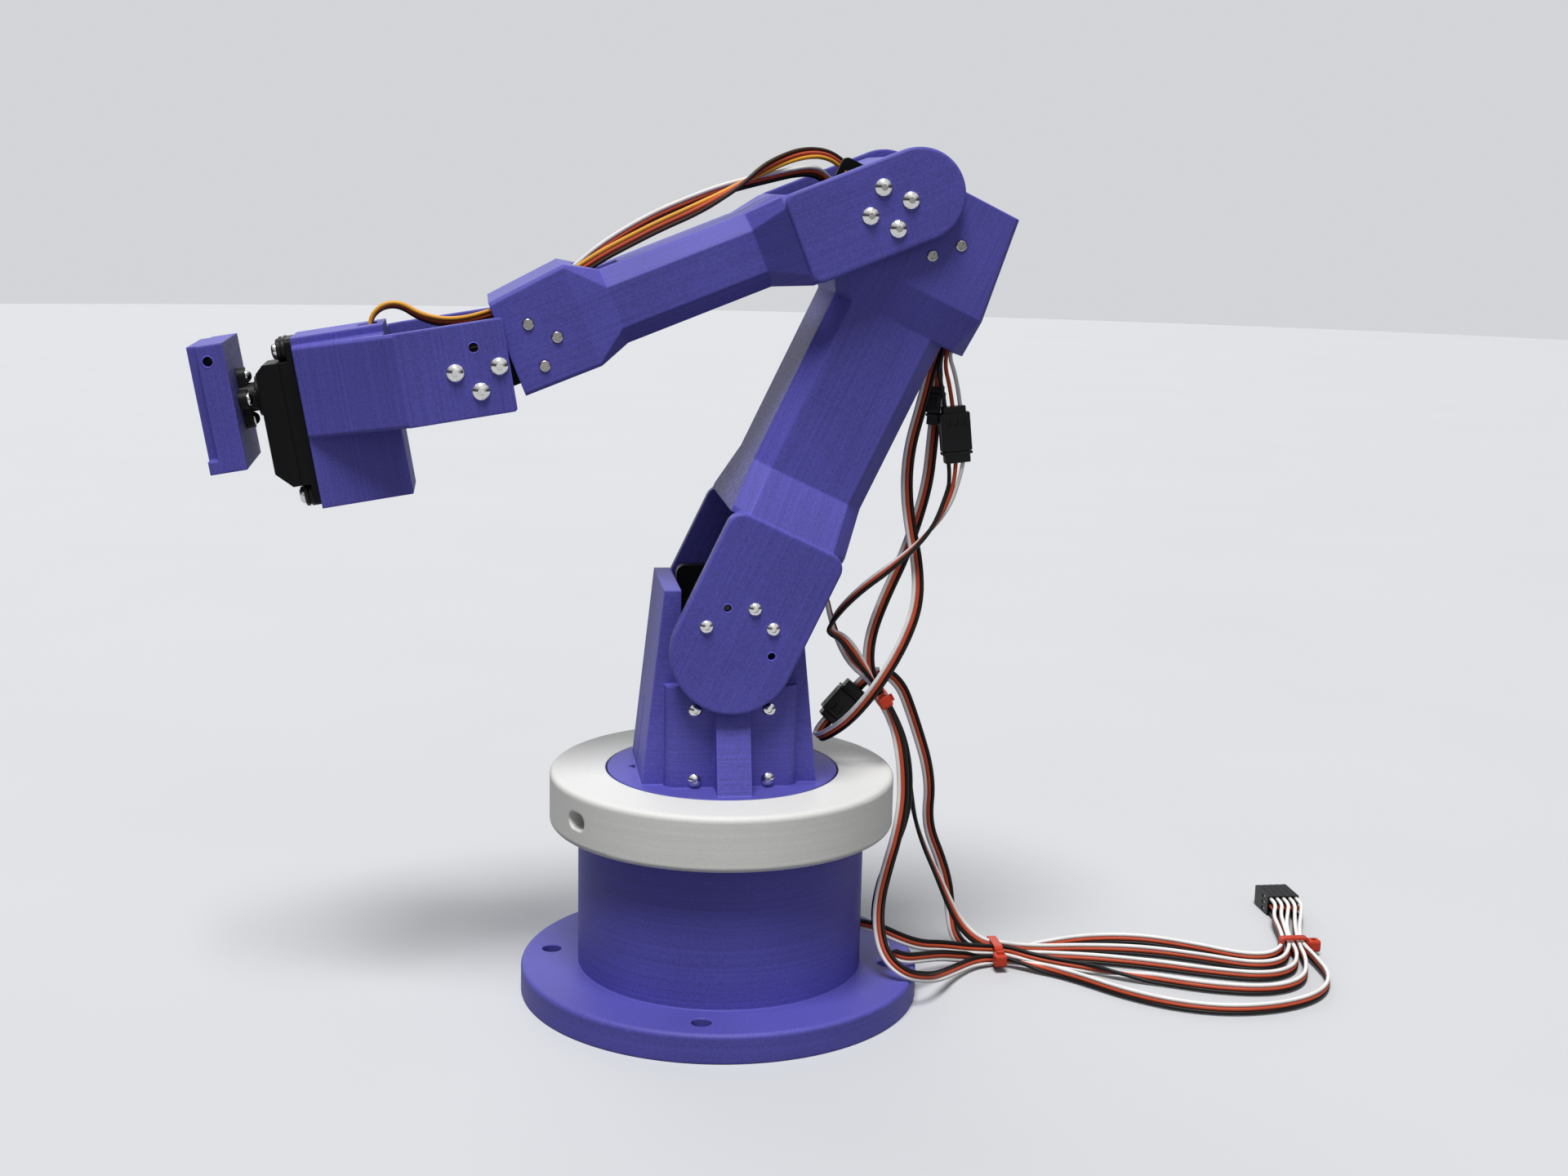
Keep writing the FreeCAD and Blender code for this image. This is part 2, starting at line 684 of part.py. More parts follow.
def turntable():
    """Turntable disc and shoulder bracket in one print."""
    disc = rod(turntable_d / 2, V(0, 0, turntable_low_z), V(0, 0, ring_top_z))
    inner_x = bracket_top_x - bracket_wall
    wall_y = (-bracket_half_y, -bracket_half_y + front_wall_t)
    front = box((-inner_x - loose, inner_x + loose), wall_y, (ring_top_z, ring_top_z + front_wall_h))
    case_low = shoulder_z + servo_shaft_in - servo_len
    ear_face_y = horn_face_z - fork_gap + servo_ear_top
    ledge = box(
        (-inner_x, inner_x), (wall_y[0], ear_face_y),
        (case_low - servo_ear_len - ledge_t, case_low - loose),
    )
    walls = [bracket_wall_side(-1), bracket_wall_side(1)]
    body = join([disc, front, ledge] + walls + bracket_pad())
    notch_half = servo_w / 2 + loose
    notch = box(
        (shoulder_x - notch_half, shoulder_x + notch_half),
        (horn_face_z - fork_gap - servo_boss_h - loose, bracket_half_y),
        (case_low - loose, shoulder_z + bracket_h),
    )
    screws = [
        rod(m25_d / 2 + fit, V(px, -bracket_half_y - 2 * pad_t, pz), V(px, 0, pz))
        for px, pz in bracket_bolts()
    ]
    slit = box((-2 * bracket_foot_x, 0), (slot_y, slot_y + slot_w), (ring_top_z, ring_top_z + slot_h))
    foot = bracket_foot_x + loose
    lead_hole = Part.Face(Part.makePolygon([
        V(-foot, lead_notch, 0), V(-foot - lead_notch / 2, lead_notch / 2, 0),
        V(-foot, 0, 0), V(-foot, lead_notch, 0),
    ])).extrude(V(0, 0, 2 * ring_top_z))
    horn_screws = [
        rod(m3_d / 2 + fit, polar(horn_pcd / 2, turn, 0), polar(horn_pcd / 2, turn, 2 * ring_top_z))
        for turn in quarters
    ]
    heads = [
        rod(m3_head_d / 2 + loose, polar(horn_pcd / 2, turn, ring_top_z - m3_head_h - loose),
            polar(horn_pcd / 2, turn, ring_top_z + m3_head_h))
        for turn in quarters
    ]
    return cut(body, [race(), notch, slit, lead_hole] + screws + horn_screws + heads)


def back_plate():
    """Plate behind the shoulder servo: presses it home and carries the idler bearing."""
    case_back = horn_face_z - fork_gap + joint_servo_h
    low = ring_top_z + back_plate_foot
    y = (bracket_half_y, bracket_half_y + back_plate_t)
    plate = box((-back_plate_half_x, back_plate_half_x), y, (low, shoulder_z + back_plate_top))
    corners = [
        edge for edge in plate.Edges
        if abs(edge.Vertexes[0].Y - edge.Vertexes[1].Y) > back_plate_t / 2
    ]
    plate = plate.makeFillet(back_plate_r, corners)
    case_low = shoulder_z + servo_shaft_in - servo_len
    press = box(
        (shoulder_x - servo_w / 2, shoulder_x + servo_w / 2), (case_back, y[1]),
        (case_low, shoulder_z - idler_bearing_d),
    )
    seat = V(shoulder_x, 2 * y[1], shoulder_z)
    bore = rod(idler_bearing_d / 2 + fit, V(shoulder_x, 0, shoulder_z), seat)
    screws = [
        rod(m25_d / 2 + fit, V(px, 0, pz), V(px, 2 * y[1], pz)) for px, pz in bracket_bolts()
    ]
    return cut(join([plate, press]), [bore] + screws)


def bracket_screws():
    """Long screws through pad and back plate."""
    length = 2 * bracket_half_y + pad_t + back_plate_t
    screw = button_screw(m25_d, m25_head_d, m25_head_h, length)
    seat_y = -bracket_half_y - pad_t
    return group([
        placed(screw, aimed(V(0, -1, 0), V(1, 0, 0), V(px, seat_y, pz))) for px, pz in bracket_bolts()
    ])


def upper_sections():
    """Outlines of the upper arm's beam from the fork slope to the flare of the housing."""
    band = (-upper_beam_half, upper_beam_half)
    plate_band = (-upper_plate_half, upper_plate_half)
    start = section(upper_plate_len - beam_cut, fork_half - plate_edge_r, plate_band, beam_cut)
    brow = section(upper_plate_len, fork_half - plate_edge_r, plate_band, beam_cut)
    foot = section(upper_plate_len + upper_slope_len, beam_half, band, beam_cut)
    end = section(elbow_s - housing_below - housing_flare, beam_half, band, beam_cut)
    return start, brow, foot, end


def upper_housing():
    """Elbow housing: flared up from the beam, leaning on its outer side."""
    left = elbow_n + servo_shaft_in + loose
    low = elbow_s - housing_below - housing_flare
    mid = elbow_s - housing_below
    high = elbow_s + housing_above
    lean = (housing_right_low - housing_right_high) / (high - low)
    mid_right = elbow_n - housing_right_low + lean * (mid - low)
    low_band = (elbow_n - housing_right_low, upper_beam_half)
    flare = skin(
        section(low, beam_half, low_band, beam_cut),
        section(mid, housing_half, (mid_right, left), sleeve_edge_cut),
    )
    head = skin(
        section(mid, housing_half, (mid_right, left), sleeve_edge_cut),
        section(high, housing_half, (elbow_n - housing_right_high, left), sleeve_edge_cut),
    )
    corner = prism(
        [(high + 1, left + 1), (high + 1, left - housing_left_cut), (high - housing_left_cut, left + 1)],
        (-2 * housing_half, 2 * housing_half),
    )
    return [flare, cut(head, [corner])]


def upper_arm_shell():
    """Fork, hollow beam and elbow housing in one print."""
    start, brow, foot, end = upper_sections()
    plates = [
        fork_plate(
            sign * fork_half, plate_t, upper_end_back, upper_plate_half, 0, upper_plate_len, beam_cut,
        )
        for sign in (-1, 1)
    ]
    beam = [skin(start, brow), skin(brow, foot), skin(foot, end)]
    body = join(plates + beam + upper_housing())
    gap = box(
        (-4 * upper_plate_half, upper_crotch), (-fork_gap, fork_gap),
        (-2 * upper_plate_half, 2 * upper_plate_half),
    )
    inner = upper_beam_half - shell_wall
    throat = skin(
        section(upper_crotch - 1, fork_gap - shell_wall, (-inner, inner), sleeve_edge_cut),
        section(upper_plate_len + upper_slope_len, beam_half - shell_wall, (-inner, inner), beam_cut),
    )
    tube_end = elbow_s - servo_w / 2 - loose
    tube = skin(
        section(upper_plate_len + upper_slope_len, beam_half - shell_wall, (-inner, inner), beam_cut),
        section(tube_end, beam_half - shell_wall, (-inner, inner), beam_cut),
    )
    side = servo_w / 2 + loose
    room_y = (housing_wall - housing_half, housing_half - housing_wall)
    tail = elbow_n + servo_shaft_in - servo_len - servo_ear_len - loose
    room = box((elbow_s - side, elbow_s + side), room_y, (tail, 2 * elbow_n + servo_len))
    window = rod(
        horn_d / 2 + 2 * loose + sleeve_edge_cut,
        V(elbow_s, -2 * housing_half, elbow_n), V(elbow_s, room_y[0] + 1, elbow_n),
    )
    bearing = rod(
        idler_bearing_d / 2 + fit, V(elbow_s, 0, elbow_n), V(elbow_s, 2 * housing_half, elbow_n),
    )
    right = elbow_n - housing_right_low
    chute = box(
        (elbow_s - 4 * housing_below, elbow_s), (-lead_chute_half, lead_chute_half),
        (right + shell_wall / 2, -upper_beam_half - loose),
    )
    heads = clamp_sinks(elbow_clamp_points(), housing_half)
    drills = fork_holes(wide_horn_pcd, m25_d, upper_holes, fork_half, plate_t)
    pin = rod(idler_d / 2 + fit, V(0, 0, 0), V(0, 2 * fork_half, 0))
    body = cut(body, [gap, throat, tube, room, window, bearing, chute, pin] + drills + heads)
    ear_y = (servo_ear_top + servo_ear_t + horn_face_z - fork_gap, room_y[1])
    tail_ledge = box((elbow_s - side, elbow_s + side), ear_y, (tail, tail + servo_ear_len))
    return join([body, tail_ledge])


def elbow_clamp_points():
    """Screws of the elbow clamp, as (x, z) in the upper arm."""
    r = clamp_pcd / 2
    cz = elbow_n - clamp_back
    return [(elbow_s - r, cz), (elbow_s, cz - r), (elbow_s + r, cz), (elbow_s, cz + r)]


def wrist_clamp_points():
    """Screws of the wrist clamp, as (x, z) in the forearm."""
    r = clamp_pcd / 2
    cx = wrist_s - clamp_back
    return [(cx, -r), (cx - r, 0), (cx, r)]


def clamp_sinks(points, half):
    """Drills and head sinks for the clamp screws in a wall whose outer face is y = -half."""
    out = []
    sink = pan_head_h - pan_head_proud
    for px, pz in points:
        out.append(rod(pan_head_d / 2 + fit, V(px, -2 * half, pz), V(px, sink - half, pz)))
        out.append(rod(pan_d / 2 + fit, V(px, -2 * half, pz), V(px, -half / 2, pz)))
    return out


def clamp(points, centre, inner_y, case_y):
    """Disc between the inner face of a wall and the servo's output face."""
    disc = rod(clamp_d / 2, V(centre[0], inner_y, centre[1]), V(centre[0], case_y, centre[1]))
    drills = [
        rod(pan_d / 2 + fit, V(px, 2 * inner_y, pz), V(px, 0, pz)) for px, pz in points
    ]
    return cut(disc, drills)


def clamp_screws(points, half, case_y):
    """Cross-head screws of a clamp."""
    sink = pan_head_h - pan_head_proud
    screw = pan_screw(half - sink + case_y - loose)
    return group([
        placed(screw, aimed(V(0, -1, 0), V(1, 0, 0), V(px, sink - half, pz))) for px, pz in points
    ])


def forearm_shell():
    """Fork, hollow beam and wrist sleeve in one print; local +Z points down."""
    plate_band = (-fore_plate_rise - fore_plate_half, fore_plate_half - fore_plate_rise)
    beam_band = (-fore_beam_top, fore_beam_low)
    slope_end = fore_plate_len + fore_slope_len
    beam_end = wrist_s - fore_beam_end
    sleeve_s = wrist_s - sleeve_start
    tip = wrist_s - sleeve_end
    plates = [
        fork_plate(
            sign * fork_half, plate_t, fore_end_back, fore_plate_half, -fore_plate_rise,
            fore_plate_len, fore_plate_corner,
        )
        for sign in (-1, 1)
    ]
    root = fore_plate_len - fore_plate_corner
    start = section(root, fork_half - plate_edge_r, plate_band, fore_plate_corner)
    brow = section(fore_plate_len, fork_half - plate_edge_r, plate_band, fore_plate_corner)
    foot = section(slope_end, beam_half, beam_band, beam_cut)
    end = section(beam_end, beam_half, beam_band, beam_cut)
    mouth = section(sleeve_s, sleeve_half, (-sleeve_top, sleeve_low), sleeve_edge_cut)
    lip = section(tip, sleeve_half, (-sleeve_top_end, sleeve_low), sleeve_edge_cut)
    lug_y = (sleeve_half - idler_bearing_w, sleeve_half)
    lug = join([
        box((tip - sleeve_wall, wrist_s), lug_y, (-idler_lug_r, idler_lug_r)),
        rod(idler_lug_r, V(wrist_s, lug_y[0], 0), V(wrist_s, lug_y[1], 0)),
    ])
    beam = [skin(start, brow), skin(brow, foot), skin(foot, end), skin(end, mouth), skin(mouth, lip)]
    body = join(plates + beam + [lug])
    gap = box((-4 * fore_plate_half, fore_crotch), (-fork_gap, fork_gap), (-2 * fork_half, 2 * fork_half))
    inner = (shell_wall - fore_beam_top, fore_beam_low - shell_wall)
    throat = skin(
        section(fore_crotch - 1, fork_gap - shell_wall, inner, sleeve_edge_cut),
        section(slope_end, beam_half - shell_wall, inner, sleeve_edge_cut),
    )
    side = servo_w / 2 + loose
    tail = wrist_s + servo_shaft_in - servo_len - servo_ear_len - loose
    tube = skin(
        section(slope_end, beam_half - shell_wall, inner, sleeve_edge_cut),
        section(tail, beam_half - shell_wall, inner, sleeve_edge_cut),
    )
    room_y = (sleeve_wall - sleeve_half, sleeve_half - sleeve_wall)
    room = box((tail, tip + 1), room_y, (-side, side))
    tunnel = box(
        (beam_end - sleeve_wall, tip + 1), (-lead_chute_half, lead_chute_half),
        (shell_wall - sleeve_top_end, 0),
    )
    porch = box(
        (beam_end - 2 * sleeve_wall, sleeve_s), (-lead_chute_half, lead_chute_half),
        (-2 * sleeve_top, shell_wall - fore_beam_top),
    )
    roof = box((sleeve_s - sleeve_wall, sleeve_s), (-sleeve_half, sleeve_half), (-2 * sleeve_top, 0))
    bearing = rod(idler_bearing_d / 2 + fit, V(wrist_s, 0, 0), V(wrist_s, 2 * sleeve_half, 0))
    heads = clamp_sinks(wrist_clamp_points(), sleeve_half)
    drills = fork_holes(horn_pcd, m3_d, quarters, fork_half, plate_t)
    pin = rod(idler_d / 2 + fit, V(0, 0, 0), V(0, 2 * fork_half, 0))
    tools = [gap, throat, tube, room, tunnel, cut(porch, [roof]), bearing, pin]
    body = cut(body, tools + heads + drills)
    ear_y = (servo_ear_top + servo_ear_t + horn_face_z - wrist_gap, room_y[1])
    tail_ledge = box((tail, tail + servo_ear_len), ear_y, (-side, side))
    return join([body, tail_ledge])


def wrist_bracket():
    """Wrist fork with the box that holds the roll servo; local +Z points down."""
    box_band = (
        -servo_shaft_in - servo_ear_len - wrist_box_top,
        servo_len - servo_shaft_in + servo_ear_len + wrist_box_margin,
    )
    band = (-wrist_plate_half, wrist_plate_half)
    plates = []
    for sign in (-1, 1):
        outer = sign * wrist_fork_half
        y = sorted((outer, outer - sign * wrist_plate_t))
        plate = box((-wrist_plate_back, wrist_plate_len), y, band)
        ends = [
            edge for edge in plate.Edges
            if abs(edge.Vertexes[0].X + wrist_plate_back) < 1e-6
            and abs(edge.Vertexes[1].X + wrist_plate_back) < 1e-6
            and abs(edge.Vertexes[0].Z - edge.Vertexes[1].Z) < 1e-6
        ]
        plates.append(plate.makeFillet(wrist_corner_r, ends))
    flank = skin(
        section(wrist_plate_len, wrist_fork_half, band, plate_edge_r),
        section(wrist_box_front, wrist_box_half + plate_edge_r, band, plate_edge_r),
    )
    block = box((wrist_box_back, wrist_box_front), (-wrist_box_half, wrist_box_half), box_band)
    body = join(plates + [flank, block])
    side = servo_w / 2 + loose
    bottom = wrist_box_front - servo_ear_z
    pocket = box(
        (bottom - loose, 2 * wrist_box_front), (-side, side),
        (-servo_shaft_in - loose, servo_len - servo_shaft_in + loose),
    )
    lead_slot = box(
        (bottom - loose, bottom + lead_slot_len), (-lead_slot_half, lead_slot_half),
        (2 * box_band[0], 0),
    )
    pilots = [
        rod(m3_d / 2 + fit, V(wrist_box_front - 3 * m3_d, -ey, ex), V(2 * wrist_box_front, -ey, ex))
        for ex, ey in ear_holes()
    ]
    past = (-2 * wrist_plate_half, 2 * wrist_plate_half)
    hollow = skin(
        section(wrist_plate_len - 1, wrist_gap, past, plate_edge_r),
        section(wrist_box_back, wrist_gap - plate_edge_r, past, plate_edge_r),
    )
    drills = fork_holes(horn_pcd, m3_d, quarters, wrist_fork_half, wrist_plate_t)
    pin = rod(idler_d / 2 + fit, V(0, 0, 0), V(0, 2 * wrist_fork_half, 0))
    return cut(body, [pocket, lead_slot, hollow, pin] + pilots + drills)


def tool_plate():
    """Tool plate on the roll axis: a block, a narrower tongue in front and a ledge below it."""
    face = tool_s + tool_t
    front = face + tongue_t
    block = box((tool_s, face), (-tool_half_y, tool_half_y), (-tool_top, tool_low))
    tongue = box((face, front), (-tongue_half_y, tongue_half_y), (-tool_top, tool_low))
    ledge = box((face, front), (-tool_half_y, tool_half_y), (tool_low - tool_ledge, tool_low))
    pin_s = tool_s + pin_hole_s
    pin_from = V(pin_s, -2 * tool_half_y, -pin_hole_n)
    pin = rod(pin_hole_d / 2, pin_from, V(pin_s, 2 * tool_half_y, -pin_hole_n))
    drills = [
        rod(m3_d / 2 + fit, p, p.add(V(tool_t - tongue_t, 0, 0))) for p in tool_screw_points(tool_s)
    ]
    return cut(join([block, tongue, ledge]), [pin] + drills)


def tool_screw_points(x):
    """Centres of the roll horn's screws at a station along the roll axis."""
    return [V(x, polar(horn_pcd / 2, turn, 0).x, polar(horn_pcd / 2, turn, 0).y) for turn in quarters]


def roll_horn_screws():
    """Screws from the servo side of the roll horn into the tool plate."""
    seat = tool_s - horn_t
    screw = button_screw(m3_d, low_head_d, low_head_h, horn_t + tool_t - tongue_t - loose)
    return group([placed(screw, aimed(V(-1, 0, 0), V(0, 0, 1), p)) for p in tool_screw_points(seat)])


def ear_screws(frame, length):
    """Four screws through the ears of a servo."""
    screw = button_screw(m3_d, m3_head_d, m3_head_h, length)
    return group([
        placed(screw, frame, FreeCAD.Placement(V(ex, ey, -servo_ear_top), FreeCAD.Rotation()))
        for ex, ey in ear_holes()
    ])


def base_horn_screws():
    """Screws from the turntable's top face down into the base horn."""
    seat_z = ring_top_z - m3_head_h - loose
    screw = button_screw(m3_d, m3_head_d, m3_head_h, seat_z - turntable_low_z + horn_t)
    return group([
        placed(screw, FreeCAD.Placement(polar(horn_pcd / 2, turn, seat_z), FreeCAD.Rotation()))
        for turn in quarters
    ])


def along(frame, points):
    """World points of a route given in a link's frame."""
    return [frame.multVec(V(*p)) for p in points]


def world(points):
    """Points of a route given in the world's frame."""
    return [V(*p) for p in points]


def lead(name, points):
    """Tube along a route: straight runs joined by tangent arcs as large as the runs allow."""
    edges = []
    radii = []
    last = points[0]
    for before, corner, after in zip(points, points[1:], points[2:]):
        back = before.sub(corner)
        ahead = after.sub(corner)
        reach = arc_share * min(back.Length, ahead.Length)
        turn = math.pi - back.getAngle(ahead)
        back.normalize()
        ahead.normalize()
        radius = reach / math.tan(turn / 2)
        radii.append(radius)
        start = corner.add(back * reach)
        end = corner.add(ahead * reach)
        inward = back.add(ahead)
        inward.normalize()
        middle = corner.add(inward * (radius / math.cos(turn / 2) - radius))
        edges.append(Part.LineSegment(last, start).toShape())
        edges.append(Part.Arc(start, middle, end).toShape())
        last = end
    edges.append(Part.LineSegment(last, points[-1]).toShape())
    spine = Part.Wire(edges)
    first_run = points[1].sub(points[0])
    disc = Part.Wire([Part.makeCircle(lead_d / 2, points[0], first_run)])
    tube = spine.makePipeShell([disc], True, False)
    share = tube.Volume / (spine.Length * math.pi * lead_d ** 2 / 4)
    print(name, "length", round(spine.Length), "radius", round(min(radii), 1), "share", round(share, 3))
    return tube


def bundle_points(k, side):
    """Where the upper tie holds a lead, and the point before (-1) or after (1) it along the bundle."""
    at = V(bundle_at[0], bundle_y[k], bundle_at[1])
    return at, at.add(V(bundle_run[0], 0, bundle_run[1]) * (side * lead_in))


def into_bundle(k):
    """Last two points of a lead that comes down into the upper tie."""
    at, before = bundle_points(k, -1)
    return [before, at]


def out_of_bundle(k):
    """First two points of a lead that leaves the upper tie."""
    at, after = bundle_points(k, 1)
    return [at, after]


def plug_point(k):
    """Where a lead meets its end connector."""
    return V(plug_x + k * (plug_t + plug_gap), plug_y, plug_h / 2 + plug_gap)


def into_plug(k):
    """Last two points of a lead, straight into its end connector."""
    at = plug_point(k)
    return [at.sub(V(0, plug_in, 0)), at]


def lead_plugs():
    """End connectors side by side on the floor."""
    out = []
    for k in range(plug_count):
        at = plug_point(k)
        out.append(box(
            (at.x - plug_t / 2, at.x + plug_t / 2), (plug_y, plug_y + plug_len),
            (plug_gap, plug_gap + plug_h),
        ))
    return group(out)


def in_line(start, end, length, bored):
    """In-line connector pair about the middle of a run, bored for the lead where asked."""
    run = end.sub(start)
    middle = start.add(run * 0.5)
    step = joint_t / 6
    half_w = joint_w / 2
    half_t = joint_t / 2
    half = length / 2
    body = box((-half_w, half_w), (-half_t, half_t), (step - half, half - 3 * step))
    ends = box((step - half_w, half_w - step), (step - half_t, half_t - step), (-half, half))
    shape = join([body, ends])
    if bored:
        shape = cut(shape, [rod(lead_d / 2 + loose, V(0, 0, -length), V(0, 0, length))])
    run.normalize()
    across = V(0, 1, 0).cross(run)
    across.normalize()
    return placed(shape, aimed(run, across, middle))


def tie(centre, run, across, wide, high, head_side):
    """Cable tie round a bundle: a strap of the wanted room, and its head on one side."""
    half_x = wide / 2 + tie_t
    half_y = high / 2 + tie_t
    outer = box((-half_x, half_x), (-half_y, half_y), (-tie_w / 2, tie_w / 2))
    room = box((-wide / 2, wide / 2), (-high / 2, high / 2), (-tie_w, tie_w))
    edge = head_side * half_x
    span = sorted((edge, edge + head_side * tie_head))
    head = box(span, (-tie_head / 2, tie_head / 2), (-tie_head / 2, tie_head / 2))
    return placed(join([cut(outer, [room]), head]), aimed(run, across, centre))


def floor_ties():
    """Two ties holding the five leads above the floor."""
    grip = lead_d + 2 * tie_room
    middle_z = sum(floor_tie_z) / 2
    high = floor_tie_z[1] - floor_tie_z[0] + grip
    first = tie(
        V(first_tie_x, sum(floor_tie_y) / 2, middle_z), V(1, 0, 0), V(0, 1, 0),
        floor_tie_y[1] - floor_tie_y[0] + grip, high, -1,
    )
    second = tie(
        V(sum(second_tie_x) / 2, second_tie_y, middle_z), V(0, 1, 0), V(1, 0, 0),
        second_tie_x[1] - second_tie_x[0] + grip + 2 * tie_room, high, 1,
    )
    return group([first, second])


def drop_tie():
    """Tie round the three leads behind the shoulder."""
    run = V(bundle_run[0], 0, bundle_run[1])
    grip = lead_d + 2 * tie_room
    return tie(bundle_points(1, 1)[0], run, V(0, 1, 0), bundle_y[2] - bundle_y[0] + grip, grip, -1)


narrow_horn = horn(horn_d, horn_pcd, m3_d, quarters)
wide_horn = horn(wide_horn_d, wide_horn_pcd, m25_d, [90 + turn for turn in range(0, 360, 45)])
shoulder_horn_at = aimed(V(0, -1, 0), V(1, 0, 0), V(0, horn_face_z - fork_gap, 0))
elbow_horn_at = aimed(V(0, -1, 0), V(1, 0, 0), V(0, horn_face_z - fork_gap, 0))
wrist_horn_at = aimed(V(0, -1, 0), V(1, 0, 0), V(0, horn_face_z - wrist_gap, 0))
m3_fork_screw = button_screw(m3_d, m3_head_d, m3_head_h, plate_t + horn_t)
m3_wrist_screw = button_screw(m3_d, m3_head_d, m3_head_h, wrist_plate_t + horn_t)
m25_fork_screw = button_screw(m25_d, m25_head_d, m25_head_h, plate_t + horn_t)
elbow_wall_y = housing_wall - housing_half
elbow_case_y = horn_face_z - fork_gap
wrist_wall_y = sleeve_wall - sleeve_half
wrist_case_y = horn_face_z - wrist_gap
elbow_clamp_at = (elbow_s, elbow_n - clamp_back)
wrist_clamp_at = (wrist_s - clamp_back, 0)
shoulder_back_y = bracket_half_y + back_plate_t

wrist_hang_points = along(shoulder, wrist_hang_u) + world(wrist_hang) + into_bundle(0)
elbow_hang_points = along(shoulder, elbow_hang_u) + world(elbow_hang) + into_bundle(1)
low_start = V(*joint_low_at)
low_run = V(math.cos(math.radians(joint_low_turn)), 0, math.sin(math.radians(joint_low_turn)))
low_end = low_start.add(low_run * joint_low_len)
roll_hang_points = (
    along(shoulder, roll_hang_u) + world(roll_hang) + [low_start.sub(low_run * joint_low_in), low_start]
)

